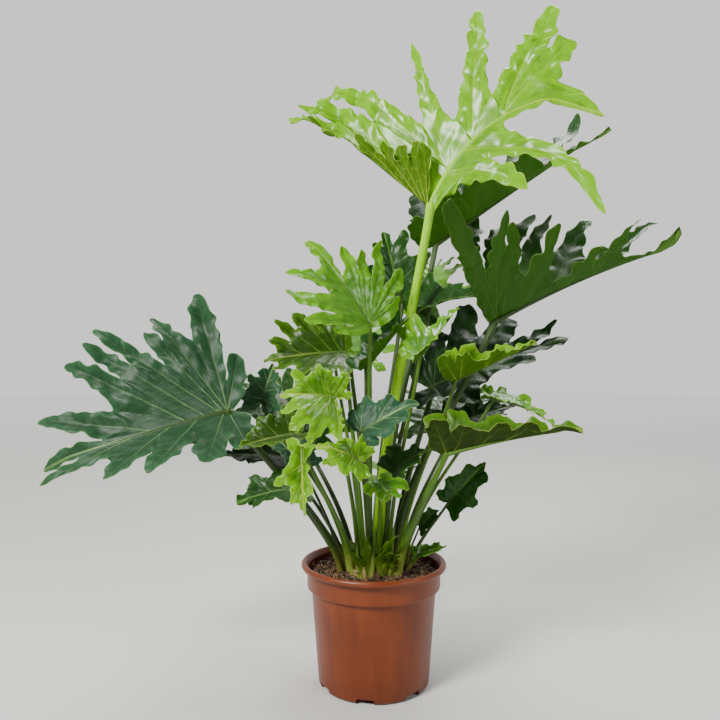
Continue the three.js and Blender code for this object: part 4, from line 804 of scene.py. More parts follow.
def half_outline(leaf, side, length):
    """Lobes of one half, its bays, and the margin as one smooth curve with each lobe's stretch."""
    lobes = half_lobes(leaf, side, length)
    bays = bay_bottoms(lobes, leaf["cut_" + side], length)
    keys, marks = [], []
    for i, bay in enumerate(bays):
        lobe = [lobes[k][i] for k in ("root", "angle", "way", "reach", "half")]
        root, angle, way, reach, _ = lobe
        before = (lobes["root"][i - 1], lobes["angle"][i - 1]) if i else (-root, 2 * math.pi - angle)
        marks.append(len(keys))
        keys += [bay, *flank(lobe, bay, 1, before, CLEAR * length), np.array([root, 0]) + way * reach]
        if i + 1 < len(bays):
            after = (lobes["root"][i + 1], lobes["angle"][i + 1])
            keys += flank(lobe, bays[i + 1], -1, after, CLEAR * length)[::-1]
    marks.append(len(keys) - 1)
    mirror = np.array([1, -1])
    curve = smooth_through(np.array([keys[1] * mirror, *keys, keys[-2] * mirror]))
    return lobes, bays, curve, marks


print("points on the margin of half the top leaf:", len(half_outline(LEAVES[0], "left", 0.3)[2]))

# %% [markdown]
# ## What makes a leaf lively
# No two lobes of a real leaf are alike. The margin is ruffled, a little scalloped, and never
# repeats evenly, so each wave is a sum of four sines with unlike paces. Short leaves are young and
# wilder: they ruffle and twist more, and small teeth stand along their margin. Two old leaves are
# wild too, because their long lobes have started to curl. Each lobe also draws its own twist,
# sway and pleat.

# %% Waves
# A ruffle's height is a share of the midrib's length. The other sizes are in metres.
RUFFLES = {"lime": 0.017, "mid": 0.012, "olive": 0.014, "dark": 0.009, "deep": 0.01, "blue": 0.009}
RUFFLE_WAVE = 0.03
SCALLOP = 0.0019
SCALLOP_WAVE = 0.029
TOOTH = 0.0015
TOOTH_WAVE = 0.012
WILD = {"leaf_right_large": 1.45, "leaf_behind_right": 1.3}


def s_step(x):
    """0 below 0, 1 above 1 and an even S between them: 3 x squared less 2 x cubed."""
    x = np.clip(x, 0, 1)
    return x * x * (3 - 2 * x)


def wander(at, wave, draw):
    """An uneven wave: four sines of about one wavelength, each started at a place of its own."""
    paces = np.array([0.68, 1.0, 1.31, 1.9])[:, None]
    sizes = np.array([0.5, 0.6, 0.4, 0.13])[:, None]
    starts = draw.uniform(0, 2 * np.pi, 4)[:, None]
    return np.sum(sizes * np.sin(2 * np.pi * at / wave * paces + starts), axis=0)


def temper(leaf, length):
    """How young a leaf is, from 1 below 5 cm to 0 above 14 cm, how wild, and its ruffle's height
    and wavelength."""
    young = min(1.0, max(0.0, 1.5 - 10.5 * length))
    wild = WILD.get(leaf["name"], 1.0 + young)
    return {"length": length, "young": young, "wild": wild,
            "ruffle": RUFFLES[leaf["tone"]] * min(length, 0.25) * wild,
            "pace": RUFFLE_WAVE * np.clip(length / 0.2, 0.62, 1.15)}


def lobe_shape(draw, wild):
    """What makes each lobe its own: how it twists, how it sways along its length, how it folds."""
    return {"twist": draw.normal(0, 0.3) * wild, "sway": draw.uniform(0.02, 0.05) * wild,
            "start": draw.uniform(0, 6.28), "pace": draw.uniform(0.045, 0.065) * wild,
            "pleat": draw.normal(0.16, 0.14), "curl": draw.normal(0, 0.1) * (wild - 0.8)}


print("a lime leaf 8 cm long:", temper({"name": "any", "tone": "lime"}, 0.08))


# %% Along the margin
def stretch(curve, first, last, share):
    """Points at shares of the arc length between two samples of a curve, and its length."""
    part = curve[first:last + 1]
    arc = np.concatenate([[0], np.cumsum(np.linalg.norm(np.diff(part, axis=0), axis=1))])
    at = share * arc[-1]
    return np.stack([np.interp(at, arc, part[:, k]) for k in range(2)], -1), arc[-1]


def lively_margin(smooth, inner, share, span, mood, draw):
    """The margin pushed outwards by scallops and teeth, and the height of the ruffle along it. Both
    fade to nothing at the bay and at the tip."""
    length, young, ruffle = mood["length"], mood["young"], mood["ruffle"]
    calm = np.sin(np.pi * np.clip(share, 0, 1)) ** 0.6
    arc = share * span
    width = np.linalg.norm(smooth - inner, axis=1)
    wave = ruffle * calm * wander(arc, mood["pace"], draw) * np.clip(width / (0.04 * length), 0.35, 1.25)
    bulge = SCALLOP * np.clip(length / 0.2, 0.6, 1.2) * calm * wander(arc, SCALLOP_WAVE, draw)
    tooth = 1 - 2 * abs(np.sin(np.pi * arc / TOOTH_WAVE + draw.uniform(0, 3))) ** 0.7
    bulge = bulge + TOOTH * young * calm * tooth
    wave = wave + 0.35 * ruffle * young * calm * tooth
    tangent = np.gradient(smooth, axis=0)
    outwards = np.stack([tangent[:, 1], -tangent[:, 0]], -1)
    outwards = outwards / np.maximum(np.linalg.norm(outwards, axis=1, keepdims=True), 1e-9)
    outwards = outwards * np.sign(np.sum(outwards * (smooth - inner), 1, keepdims=True) + 1e-9)
    return smooth + outwards * bulge[:, None] * (share > 0)[:, None], wave


corner = np.array([(0.0, 0.0), (0.3, 0.0), (0.3, 0.4)])
print("length of a bent line of 0.3 and 0.4 m:", stretch(corner, 0, 2, np.array([0.5]))[1])

# %% [markdown]
# ## The blade as strips of a grid
# Veins decide how a leaf's surface bends. So each half lobe is one strip of a grid: its inner edge
# lies on the lobe's own vein, its outer edge on the margin, and its columns lean outwards as the
# side veins do. Between two lobes a narrow fan fills the web from the midrib to the bay. The
# ruffle grows towards the margin, and its crests follow the columns. In the top leaf the base lobes
# are turned over like a flap, first round an arc and then straight on.

# %% One strip
# A lobe starts to curl at a share of its reach. The web and the pleat are shares of the midrib.
MM = 0.001
ROWS = 8
CURL_START = 0.45
WEB_WIDTH = 0.06
PLEAT_WIDTH = 0.05


def folded(flap, flat, height):
    """Turns what lies beyond the fold line over the rest: first round an arc, then straight on."""
    line, turn, radius = math.radians(flap["angle"]), math.radians(flap["turn"]), flap["radius"] * MM
    way = np.array([math.cos(line), math.sin(line)])
    normal = np.array([-way[1], way[0]])
    along = flat @ way
    beyond = np.maximum(0, flat @ normal)
    t = np.minimum(beyond / radius, turn)
    straight = beyond - t * radius
    off = radius * np.sin(t) + straight * np.cos(t) - height * np.sin(t)
    up = radius * (1 - np.cos(t)) + straight * np.sin(t) + height * np.cos(t)
    return along[..., None] * way + off[..., None] * normal, up


def strip(inner, outer, wave, lift, lobe, bay, length, flap=None):
    """A flat strip between two edges: its points on the flat blade and in the shaped one, with the
    pattern numbers of each. A lobe's outer part curls down, twists, and swings to the side."""
    root, way, reach, curl, sweep, shape = lobe
    v = np.linspace(0, 1, ROWS + 1)[None, :]
    v = v * 0.7 + 0.3 * (1 - (1 - v) ** 2)  # rows crowd a little towards the margin
    flat = inner[:, None, :] + (outer - inner)[:, None, :] * v[..., None]
    away = flat - np.array([root, 0])
    normal = np.array([-way[1], way[0]])
    along = away @ way
    off = away @ normal
    open_web = s_step(np.linalg.norm(flat - bay, axis=-1) / (WEB_WIDTH * length))
    s = np.clip((along / reach - CURL_START) / (1 - CURL_START), 0, 1.3)
    height = lift[:, None] * open_web * shape["pleat"] * np.minimum(abs(off), PLEAT_WIDTH * length)
    sway = shape["sway"] * reach * s * np.sin(along / (shape["pace"] * length) + shape["start"])
    height = height + lift[:, None] * (shape["twist"] * off * s + sway
                                      - (curl + shape["curl"]) * reach * s ** 2)
    height = height + wave[:, None] * v ** 1.8
    slope = np.arctan(2 * sweep * s / (1 - CURL_START))
    forward = -off * np.sin(slope)
    aside = sweep * reach * s ** 2 + off * (np.cos(slope) - 1)
    shift = lift[:, None, None] * (forward[..., None] * way + aside[..., None] * normal)
    spot, up = folded(flap, flat, height) if flap else (flat, height)
    rim = (1 - v) * np.linalg.norm(outer - inner, axis=-1)[:, None] * 0.8
    share = np.clip(along / reach, 0, 1)
    return {"flat": flat, "shaped": np.concatenate([spot + shift, up[..., None]], -1),
            "vein": np.stack([along, off], -1), "edge": np.stack([rim, share], -1)}


print("points across a strip:", ROWS + 1)


# %% All strips of one half
# Columns stand STEP metres apart. TO_TIP counts the points from a bay to the tip beside it.
STEP = 0.0021
SAME = 8e-7
ANGLE_SAME = 1e-6
TO_TIP = len(SHOULDERS) + 1


def web(inside, lobe, bay, length):
    """The still fan between two lobes: from the stations on the midrib to the bottom of the bay."""
    if len(inside) < 2:
        return []
    inner = np.stack([inside, 0 * inside], -1)
    outer = np.broadcast_to(bay, inner.shape)
    still = np.zeros(len(inside))
    return [strip(inner, outer, still, still, lobe, bay, length)]


def half_strips(leaf, side, length, stations, draw):
    """All strips of one half, in the order of the margin from the base to the end of the midrib. A
    strip's columns start a little before the bay, seen along the vein, and end at the tip."""
    lobes, bays, curve, marks = half_outline(leaf, side, length)
    mood = temper(leaf, length)
    fold_angle = math.radians(leaf["flap"]["angle"]) if "flap" in leaf and side == "left" else math.inf
    result = []
    last = len(bays) - 1
    for i in range(last + 1):
        root, way, reach = lobes["root"][i], lobes["way"][i], lobes["reach"][i]
        t = np.linspace(0, 1, int(max(10, round(reach / STEP))))
        inner = np.array([root, 0]) + way * (t * reach)[:, None]
        lobe = (root, way, reach, lobes["curl"][i], lobes["sweep"][i], lobe_shape(draw, mood["wild"]))
        beyond = lobes["angle"][i] - fold_angle
        for turn, bay in enumerate(bays[i:i + 2]):
            over = beyond > ANGLE_SAME or (turn == 0 and beyond > -ANGLE_SAME)
            along = (bay - [root, 0]) @ way
            off = abs((bay - [root, 0]) @ np.array([-way[1], way[0]]))
            start = np.clip((along - 0.75 * off) / reach, 0.06, 0.62)
            share = np.clip((t - start) / (1 - start), 0, 1)
            low, high = sorted((marks[i + turn], marks[i] + TO_TIP))
            smooth, span = stretch(curve, low * SPAN_SAMPLES, high * SPAN_SAMPLES,
                                   share if turn == 0 else 1 - share)
            edge, wave = lively_margin(smooth, inner, share, span, mood, draw)
            columns = strip(inner, edge, wave, s_step(t / start), lobe, bay, length,
                            leaf["flap"] if over else None)
            if turn == 1:
                columns = {k: value[::-1] for k, value in columns.items()}
            result.append(columns)
        if i < last:
            inside = stations[(stations > root - SAME) & (stations < lobes["root"][i + 1] + SAME)]
            result += web(inside, lobe, bays[i + 1], length)
    return result


sprig = next(leaf for leaf in LEAVES if leaf["name"] == "leaf_sprig")
sprig_half = half_strips(sprig, "left", 0.04, np.zeros(1), np.random.default_rng(1))
print("strips in half a sprig:", len(sprig_half))

# %% [markdown]
# ## Folding the flat blade into place
# The strips are flat so far, with a small height on top. Now the whole blade is bent from base to
# tip like a strip of spring steel, its halves are folded up along the midrib and arched, the midrib
# may swerve, and the blade is set on the end of its stalk with the upper side facing the light.

# %% Placing a blade
SWERVE_BASE = 0.15
ARCH = 0.15


def unit(vector):
    """The vector over its own length."""
    return vector / np.linalg.norm(vector)


def blade_frame(leaf):
    """Joint, unit vectors along, across and up, the bend in radians and the midrib's length, which
    is that of an arc over its chord."""
    joint, tip, face = (np.array(leaf[k], float) for k in ("joint", "tip", "face"))
    chord = np.linalg.norm(tip - joint) * MM
    along = unit(tip - joint)
    bend = math.radians(leaf["bend"])
    up = unit(face - along * (face @ along))
    length = chord * (bend / 2) / math.sin(bend / 2)
    return joint * MM, along, np.cross(up, along), up, bend, length


def place(leaf, shaped):
    """Points (along, across, height): folded at the midrib, arched, bent to an arc and set in
    place. The midrib may also swerve sideways, as a parabola that fades behind the joint."""
    joint, along, across, up, bend, length = blade_frame(leaf)
    fold = math.radians(leaf["fold"])
    x, y, height = shaped[..., 0], shaped[..., 1], shaped[..., 2]
    soft = 0.02 * length
    rise = math.sin(fold) * (np.hypot(y, soft) - soft) - leaf.get("arch", ARCH) * y * y / length
    h = height + rise
    radius = length / bend
    turn = x / radius
    px = (radius + h) * np.sin(turn)
    pz = -radius * (1 - np.cos(turn)) + h * np.cos(turn)
    c, s = math.cos(bend / 2), math.sin(bend / 2)
    u = x / length
    ahead = np.maximum(u, 0)
    behind = SWERVE_BASE * (np.exp(np.minimum(u, 0) / SWERVE_BASE) - 1)
    swerve = 4 * leaf.get("swerve", 0) * length * (ahead * (1 - ahead) + behind)
    return (joint + (px * c - pz * s)[..., None] * along + (y * math.cos(fold) + swerve)[..., None] * across
            + (px * s + pz * c)[..., None] * up)


lengths = [blade_frame(leaf)[5] for leaf in LEAVES]
print("midribs from", round(min(lengths), 3), "to", round(max(lengths), 3), "m")

# %% [markdown]
# ## From strips to a closed sheet
# All strips of both halves are laid side by side, and low bumps run across them, so that the
# surface between the veins is never quite flat. Points that coincide on the flat blade become one.
# The sheet then gets its thickness: one skin above, one below, and a rim that closes the margin.

# %% The whole blade
# Each row of bumps is a height and a wavelength, as shares of the midrib's length.
BLADE = 0.0007
STATION_STEP = 0.006
BUMPS = ((0.006, 0.1), (0.0045, 0.04), (0.002, 0.018))


def flat_blade(leaf, length, draw):
    """Both halves as one grid: flat and shaped points, the two maps, and the triangles. The right
    half is the mirror of a left one, so its triangles run the other way round."""
    roots = [row[0] * length for side in ("left", "right") for row in leaf[side]]
    even = np.arange(0, leaf["end"][0] * length, STATION_STEP)
    stations = np.unique(np.round([*roots, leaf["end"][0] * length, *even], 6))
    sheets = {"flat": [], "shaped": [], "vein": [], "edge": []}
    faces, start = [], 0
    for side, sign in (("left", 1), ("right", -1)):
        mirror = {"flat": [1, sign], "shaped": [1, sign, 1], "vein": [1, sign], "edge": [1, 1]}
        for grid in half_strips(leaf, side, length, stations, draw):
            columns, rows = grid["flat"].shape[:2]
            tri = grid_faces(columns, rows, start)
            faces.append(tri[:, ::-1] if sign > 0 else tri)
            for key, sheet in sheets.items():
                sheet.append((grid[key] * mirror[key]).reshape(-1, len(mirror[key])))
            start += columns * rows
    return [*(np.concatenate(sheet) for sheet in sheets.values()), np.concatenate(faces)]


def add_bumps(height, flat, length, draw):
    """Adds low bumps to the height: products of two sines, calm along the midrib."""
    for size, pace in BUMPS:
        a, b, c = draw.uniform(0, 2 * np.pi, 3)
        u = (flat[:, 0] * math.cos(c) + flat[:, 1] * math.sin(c)) / (pace * length)
        v = (flat[:, 1] * math.cos(c) - flat[:, 0] * math.sin(c)) / (pace * length)
        calm = s_step(abs(flat[:, 1]) / (0.06 * length))
        height = height + size * length * calm * np.sin(u + a) * np.sin(v + b)
    return height


def two_skins(points, tri, corners):
    """The sheet with its thickness. A rim of two triangles closes each edge that only one triangle
    has. Returns points, triangles, the corner each one's numbers come from, and the upper side."""
    normals = point_normals(points, tri)
    count = len(points)
    skins = np.concatenate([points + normals * BLADE / 2, points - normals * BLADE / 2])
    pairs = np.concatenate([tri[:, [0, 1]], tri[:, [1, 2]], tri[:, [2, 0]]])
    sources = np.concatenate([corners[:, [0, 1]], corners[:, [1, 2]], corners[:, [2, 0]]])
    border = ~np.isin(pairs[:, 0] * count + pairs[:, 1], pairs[:, 1] * count + pairs[:, 0])
    a, b = pairs[border].T
    ca, cb = sources[border].T
    rim = np.concatenate([np.stack([b, a, a + count], -1), np.stack([b, a + count, b + count], -1)])
    rim_source = np.concatenate([np.stack([cb, ca, ca], -1), np.stack([cb, ca, cb], -1)])
    faces = np.concatenate([tri, tri[:, ::-1] + count, rim])
    source = np.concatenate([corners, corners[:, ::-1], rim_source])
    upper = np.repeat([1.0, 0.0, 1.0], [len(tri), len(tri), len(rim)])
    return skins, faces, source, np.repeat(upper, 3).reshape(-1, 3)


def blade_sheet(leaf, draw):
    """The blade as a closed sheet: points, triangles, maps per corner and the skin of each corner."""
    length = blade_frame(leaf)[5]
    flat, shaped, vein, edge, faces = flat_blade(leaf, length, draw)
    shaped[:, 2] = add_bumps(shaped[:, 2], flat, length, draw)
    _, first, merged = np.unique(np.round(flat, 6) + 0.0, axis=0, return_index=True, return_inverse=True)
    tri = merged.reshape(-1)[faces]
    real = open_faces(tri)
    points, tri, source, upper = two_skins(place(leaf, shaped[first]), tri[real], faces[real])
    return points, tri, {"vein": vein[source], "edge": edge[source], "blade": flat[source]}, upper


print("triangles of the top leaf's blade:", len(blade_sheet(LEAVES[0], np.random.default_rng(1))[1]))

# %% [markdown]
# ## Stalks and midribs
# A stalk is a tube whose thickness shrinks from the crown to the blade. It swells at both ends,
# where the real one has a sheath and a joint, and a shallow channel runs up its inner side.
# The midrib is the same kind of tube, half sunk in the underside of the blade.


# %% Tubes
def tube(path, radii, side, around, channel=0.0):
    """Rings round a path: centre plus radius times (cosine, sine) of the turn, across the path. A
    channel flattens each ring towards side."""
    way = np.gradient(path, axis=0)
    way = way / np.linalg.norm(way, axis=1, keepdims=True)
    side = side - way * (way @ side)[:, None]
    side = side / np.linalg.norm(side, axis=1, keepdims=True)
    other = np.cross(way, side)
    turn = np.linspace(0, 2 * np.pi, around + 1)
    dent = 1 - channel * np.exp(-((np.cos(turn) - 1) / 0.35) ** 2)
    ring = (side[:, None, :] * np.cos(turn)[None, :, None] + other[:, None, :] * np.sin(turn)[None, :, None])
    points = path[:, None, :] + ring * radii[:, None, None] * dent[None, :, None]
    arc = np.concatenate([[0], np.cumsum(np.linalg.norm(np.diff(path, axis=0), axis=1))])
    maps = np.stack(np.broadcast_arrays(arc[:, None], turn[None, :] / (2 * np.pi)), -1)
    return points, maps


def closed_tube(path, radii, side, around, channel=0.0):
    """The tube closed to a point at both ends, as triangles that point outwards, with its map
    (distance along, share around)."""
    path = np.concatenate([path[:1], path, path[-1:]])
    radii = np.concatenate([[0], radii, [0]])
    nudge = np.zeros(path.shape)
    nudge[0] = (path[1] - path[2]) * 1e-3
    nudge[-1] = (path[-2] - path[-3]) * 1e-3
    points, maps = tube(path + nudge, radii, side, around, channel)
    columns, rows = points.shape[:2]
    faces = grid_faces(columns, rows)
    ids = np.arange(columns * rows).reshape(columns, rows)
    ids[:, -1] = ids[:, 0]
    ids[0, :] = ids[0, 0]
    ids[-1, :] = ids[-1, 0]
    merged = ids.reshape(-1)[faces]
    real = open_faces(merged)
    used, merged = np.unique(merged[real], return_inverse=True)
    return points.reshape(-1, 3)[used], merged.reshape(-1, 3), maps.reshape(-1, 2)[faces[real]]


post = np.array([(0.0, 0.0, 0.0), (0.0, 0.0, 0.5), (0.0, 0.0, 1.0)])
print("triangles of a post with six sides:", len(closed_tube(post, np.ones(3), np.array([1.0, 0, 0]), 6)[1]))


# %% Stalk and midrib
# The crown's height is in millimetres, as the leaf sizes are.
CROWN = 160.0
ROOT_DEPTH = 18 * MM
SHEATH_SWELL = 0.34
JOINT_SWELL = 0.16


def stalk_tube(leaf):
    """Upright in the soil, then a cubic curve that leaves upright and arrives along the stalk."""
    foot = np.array([*leaf["base"], CROWN]) * MM
    joint = np.array(leaf["joint"], float) * MM
    reach = np.linalg.norm(joint - foot)
    way = (joint - foot) / reach
    start = unit(np.array([0, 0, 1 - leaf["lean"]]) + way * leaf["lean"])
    second = foot + start * reach * 0.38
    third = joint - way * reach * 0.3
    t = np.linspace(0, 1, int(20 + reach / 0.008))[:, None]
    curve = (1 - t) ** 3 * foot + 3 * (1 - t) ** 2 * t * second
    curve = curve + 3 * (1 - t) * t ** 2 * third + t ** 3 * joint
    buried = foot + np.array([[0, 0, -ROOT_DEPTH], [0, 0, -0.6 * ROOT_DEPTH], [0, 0, -0.2 * ROOT_DEPTH]])
    thick, thin = np.array(leaf["stalk"]) * MM
    end = joint + unit(joint - curve[-2]) * thin * 0.5
    path = np.concatenate([buried, curve, [end]])
    s = np.concatenate([[0, 0, 0], t[:, 0], [1]])
    above = s * reach
    radii = thick + (thin - thick) * s ** 0.8
    radii = radii * (1 + SHEATH_SWELL * np.exp(-above / 0.03))
    radii = radii * (1 + JOINT_SWELL * np.exp(-((reach - above) / (2.2 * thin)) ** 2))
    radii[-1] *= 0.75
    inner = np.array([-way[0], -way[1], 0.4]) + np.array([0, 0.02, 0])
    return closed_tube(path, radii, unit(inner), 16, channel=0.16)


def rib_tube(leaf):
    """The midrib under the blade: its centre lies below the sheet, so half of it shows. It thins to
    nothing where the last lobe starts to curl."""
    length = blade_frame(leaf)[5]
    thin = leaf["stalk"][1] * MM
    end_root = leaf["end"][0]
    s = np.linspace(-0.012, end_root + CURL_START * (1 - end_root), 44)
    radii = np.maximum(thin * 0.86 * (1 - np.clip(s, 0, 1)) ** 1.7, 0.0004)
    path = place(leaf, np.stack([s * length, 0 * s, -0.42 * radii], -1))
    return closed_tube(path, radii, blade_frame(leaf)[3], 10)


print("points on the top leaf's stalk:", len(stalk_tube(LEAVES[0])[0]))


# %% Parts of one mesh
def join(*parts):
    """Parts (points, faces, maps, marks, material index) as one set of arrays."""
    starts = np.cumsum([0, *[len(part[0]) for part in parts[:-1]]])
    points = np.concatenate([part[0] for part in parts])
    faces = np.concatenate([part[1] + start for part, start in zip(parts, starts)])
    maps = {k: np.concatenate([part[2][k] for part in parts]) for k in parts[0][2]}
    marks = {k: np.concatenate([part[3][k] for part in parts]) for k in parts[0][3]}
    index = np.concatenate([np.full(len(part[1]), part[4]) for part in parts])
    return points, faces, maps, marks, index


def tube_part(solid, number, vary):
    """A tube with the same maps and marks as a blade; its vein map is (along, share around)."""
    points, faces, along = solid
    blank = np.zeros(along.shape)
    marks = {"upper": np.ones(faces.shape), "vary": np.full(faces.shape, vary)}
    return points, faces, {"vein": along, "edge": blank, "blade": blank}, marks, number


print("triangles of the top leaf's midrib:", len(tube_part(rib_tube(LEAVES[0]), 1, 0.5)[1]))

# %% [markdown]
# ## Leaf finish
# A living leaf is not one green. The upper skin has a waxy shine and is mottled, with pale veins and
# a thin pale edge. The underside is dull, with veins that stand out. Each green below is a small
# family of colours for one kind of leaf: a young leaf is lime, an old one is dark or bluish. The
# blade is also thin enough for light to come through, so a translucent share is mixed in.
#
# In the table, shine is the weight of the clear coat and gloss its roughness, bloom the dusty
# sheen, share the part of the light that comes through, and lines the strength of the veins.

# %% Greens
GREENS = {
    "lime": {
        "upper": ("2e5a00", "78b800"), "lower": ("2f4f00", "4d7000"),
        "vein": "c8e04c", "margin": "d8ec70", "through": "90cc00", "share": 0.3,
        "gloss": 0.22, "shine": 0.62, "bloom": 0.0, "lines": 0.5,
    },
    "mid": {
        "upper": ("2a6206", "68a812"), "lower": ("223e04", "345808"),
        "vein": "94c04c", "margin": "b4d460", "through": "74bc00", "share": 0.24,
        "gloss": 0.22, "shine": 0.75, "bloom": 0.0, "lines": 0.45,
    },
    "olive": {
        "upper": ("244604", "487808"), "lower": ("1c2a02", "2e4204"),
        "vein": "9ab848", "margin": "c4dc60", "through": "88bc00", "share": 0.2,
        "gloss": 0.3, "shine": 0.5, "bloom": 0.0, "lines": 0.36,
    },
    "dark": {
        "upper": ("0f2a08", "1a4410"), "lower": ("264a06", "3c660e"),
        "vein": "6c9440", "margin": "8cb044", "through": "70b000", "share": 0.22,
        "gloss": 0.34, "shine": 0.42, "bloom": 0.0, "lines": 0.32,
    },
    "deep": {
        "upper": ("0c2209", "163610"), "lower": ("122604", "1c3a06"),
        "vein": "5c8040", "margin": "749440", "through": "448000", "share": 0.11,
        "gloss": 0.42, "shine": 0.2, "bloom": 0.0, "lines": 0.3,
    },
    "blue": {
        "upper": ("183824", "285236"), "lower": ("24461c", "365c24"),
        "vein": "8cb068", "margin": "a0c060", "through": "5c9824", "share": 0.14,
        "gloss": 0.46, "shine": 0.22, "bloom": 0.2, "lines": 0.42,
    },
}
print("leaf greens:", ", ".join(GREENS))

# %% [markdown]
# ## One finish for a blade
# The pattern needs to know where on the leaf it is, so each blade carries three maps. One gives
# the place along and beside a lobe's own vein, one the distance from the margin and the share of
# the way to the lobe's tip, and one the place on the flat blade. Veins are thin lines in these
# maps. The side veins slant: a line where the way along less 0.78 of the way aside is constant.
# Between them the skin is quilted like a cushion, and seen from below every relief is reversed.

# %% Blade finish
VEIN_GAP = 0.0135
VEIN_SLANT = 0.78


def blade_material(name, green):
    """Mottled green with veins, a pale margin, quilted relief and a translucent share."""
    s = Shader(name)
    spot = s.place()
    along, off = s.map("vein")
    rim, share = s.map("edge")
    beside = s.map("blade")[1]
    upper = s.mark("upper")
    vary = s.mark("vary")
    blotch = s.noise(spot, 26.0, 3.0)
    grain = s.noise(spot, 210.0, 2.0)
    shake = (s.noise(spot, 90.0, 2.0) - 0.5) * 0.0032
    lobe_vein = 1.0 - (abs(off) / share.between(0.0012, 0.0003)).step(0.4, 1.2)
    lengthwise = s.add("CombineXYZ", None, {0: along * 16.0, 1: off * 230.0, 2: blotch * 0.8})
    streak = s.noise(lengthwise, 1.0, 3.0)
    midrib = 1.0 - abs(beside).step(0.0009, 0.0022)
    side_way = along - abs(off) * VEIN_SLANT + shake
    side_vein = side_way.line(VEIN_GAP, 0.0004) * rim.step(0.0, 0.004) * (blotch * 1.6).step(0.35, 1.0)
    margin = 1.0 - rim.step(0.0002, 0.0009)
    inside = rim.step(0.0, 0.011)
    pattern = blotch * 0.5 + streak * 0.6 + grain * 0.1 + vary * 0.45 + inside.between(0.2, -0.28)
    tone = s.mix(pattern.step(0.4, 1.0), colour(green["upper"][0]), colour(green["upper"][1]))
    under = s.mix((blotch * 0.4 + streak * 0.5 + vary * 0.2).step(0.3, 0.9),
                  colour(green["lower"][0]), colour(green["lower"][1]))
    body = s.mix(upper, under, tone)
    body = s.mix(side_vein * upper.between(0.3, 0.2), body, colour(green["vein"]))
    body = s.mix(lobe_vein * share.between(1.0, 0.35) * green["lines"], body, colour(green["vein"]))
    body = s.mix(midrib * 0.6, body, colour(green["vein"]))
    body = s.mix((1.0 - vary) * 0.4, body, colour(green["lower"][0]))
    body = s.mix(margin * (green["lines"] * 0.8), body, colour(green["margin"]))
    pillow = abs((side_way / VEIN_GAP).math("FRACT") - 0.5) * 2.0
    quilt = (1.0 - pillow * pillow) * (blotch * 1.2 - 0.1)
    crinkle = s.noise(spot, 95.0, 3.0)
    relief = (quilt * 0.3 + crinkle * 0.6 + streak * 1.1 + grain * 0.12) * upper.between(-1.0, 1.0)
    relief = relief - lobe_vein * 0.5 * upper.between(-1.4, 1.0)
    normal = s.bump(relief, 0.0013, 0.6)
    rough = upper.between(0.6, 0.42) + (blotch - 0.5) * 0.2 + (grain - 0.5) * 0.08
    wax = upper.between(0.1, green["shine"]) * (blotch * 1.5).step(0.2, 1.0).between(0.35, 1.0)
    wax = wax * share.step(0.5, 1.0).between(1.0, 0.12)
    skin = s.add("BsdfPrincipled", None, {
        "Base Color": body, "Roughness": rough, "Normal": normal, "Specular IOR Level": 0.12,
        "Coat Weight": wax, "Coat Roughness": green["gloss"],
        "Sheen Weight": green["bloom"], "Sheen Roughness": 0.35, "Sheen Tint": (0.92, 1.0, 0.92, 1.0),
    })
    glow = s.add("BsdfTranslucent", None, {"Color": colour(green["through"])})
    thin = s.add("MixShader", None, {0: green["share"], 1: skin, 2: glow})
    return s.finish(thin)


blades = {tone: blade_material("leaf " + tone, green) for tone, green in GREENS.items()}
print("blade finishes:", len(blades))

# %% [markdown]
# ## Stalk finish
# A stalk is smooth and firm, with fine lengthwise streaks. The tallest one is bright yellow-green.
# The older ones are darker, and all of them grow pale, then brownish, where they leave the soil.

# %% Stalk greens
STREAKS = 20.0
FULL_TURN = 2 * math.pi

# Each row is the dark shade, the light shade and the one near the soil.
STALKS = {
    "bright": ("5e9a00", "9cd800", "c4d868"),
    "fresh": ("2a4c08", "4e7414", "98a448"),
    "dark": ("1a2e06", "38540c", "80803a"),
}


def stalk_material(name, shades):
    """Lengthwise streaks over a green that turns pale and brown towards the soil."""
    s = Shader(name)
    spot = s.place()
    along, around = s.map("vein")
    vary = s.mark("vary")
    streak = ((around + s.noise(spot, 18.0, 2.0) * 0.02) * STREAKS * FULL_TURN).math("SINE") * 0.5 + 0.5
    fine = s.noise(s.scaled(spot, (520.0, 520.0, 22.0)), 1.0, 3.0)
    blotch = s.noise(spot, 34.0, 3.0)
    tone = (streak * 0.35 + fine * 0.45 + vary * 0.2).step(0.2, 0.8)
    body = s.mix(tone, colour(shades[0]), colour(shades[1]))
    foot = 1.0 - (along + (blotch - 0.5) * 0.03).step(0.018, 0.075)
    body = s.mix(foot * 0.75, body, colour(shades[2]))
    scar = 1.0 - (along + (fine - 0.5) * 0.02).step(0.014, 0.032)
    body = s.mix(scar * 0.6, body, colour("6a4a2a"))
    speck = (s.noise(spot, 140.0, 2.0) - 0.63).step(0.0, 0.06)
    body = s.mix(speck * 0.25, body, colour("5d6a2c"))
    normal = s.bump(streak * 0.6 + fine * 0.5, 0.0006, 0.6)
    skin = s.add("BsdfPrincipled", None, {
        "Base Color": body, "Roughness": (fine * 0.2 + blotch * 0.15).between(0.28, 1.0), "Normal": normal,
        "Specular IOR Level": 0.3,
    })
    return s.finish(skin)


stalks = {kind: stalk_material("stalk " + kind, shades) for kind, shades in STALKS.items()}
print("stalk finishes:", ", ".join(stalks))

# %% [markdown]
# ## Growing every leaf
# Each leaf is now one call: the sheet of the blade, the tube of the stalk and the midrib, joined in
# one mesh that takes the place of its measured node. Each has a paleness of its own from 0 to 1,
# given for the leaves that catch the eye and drawn for the rest.

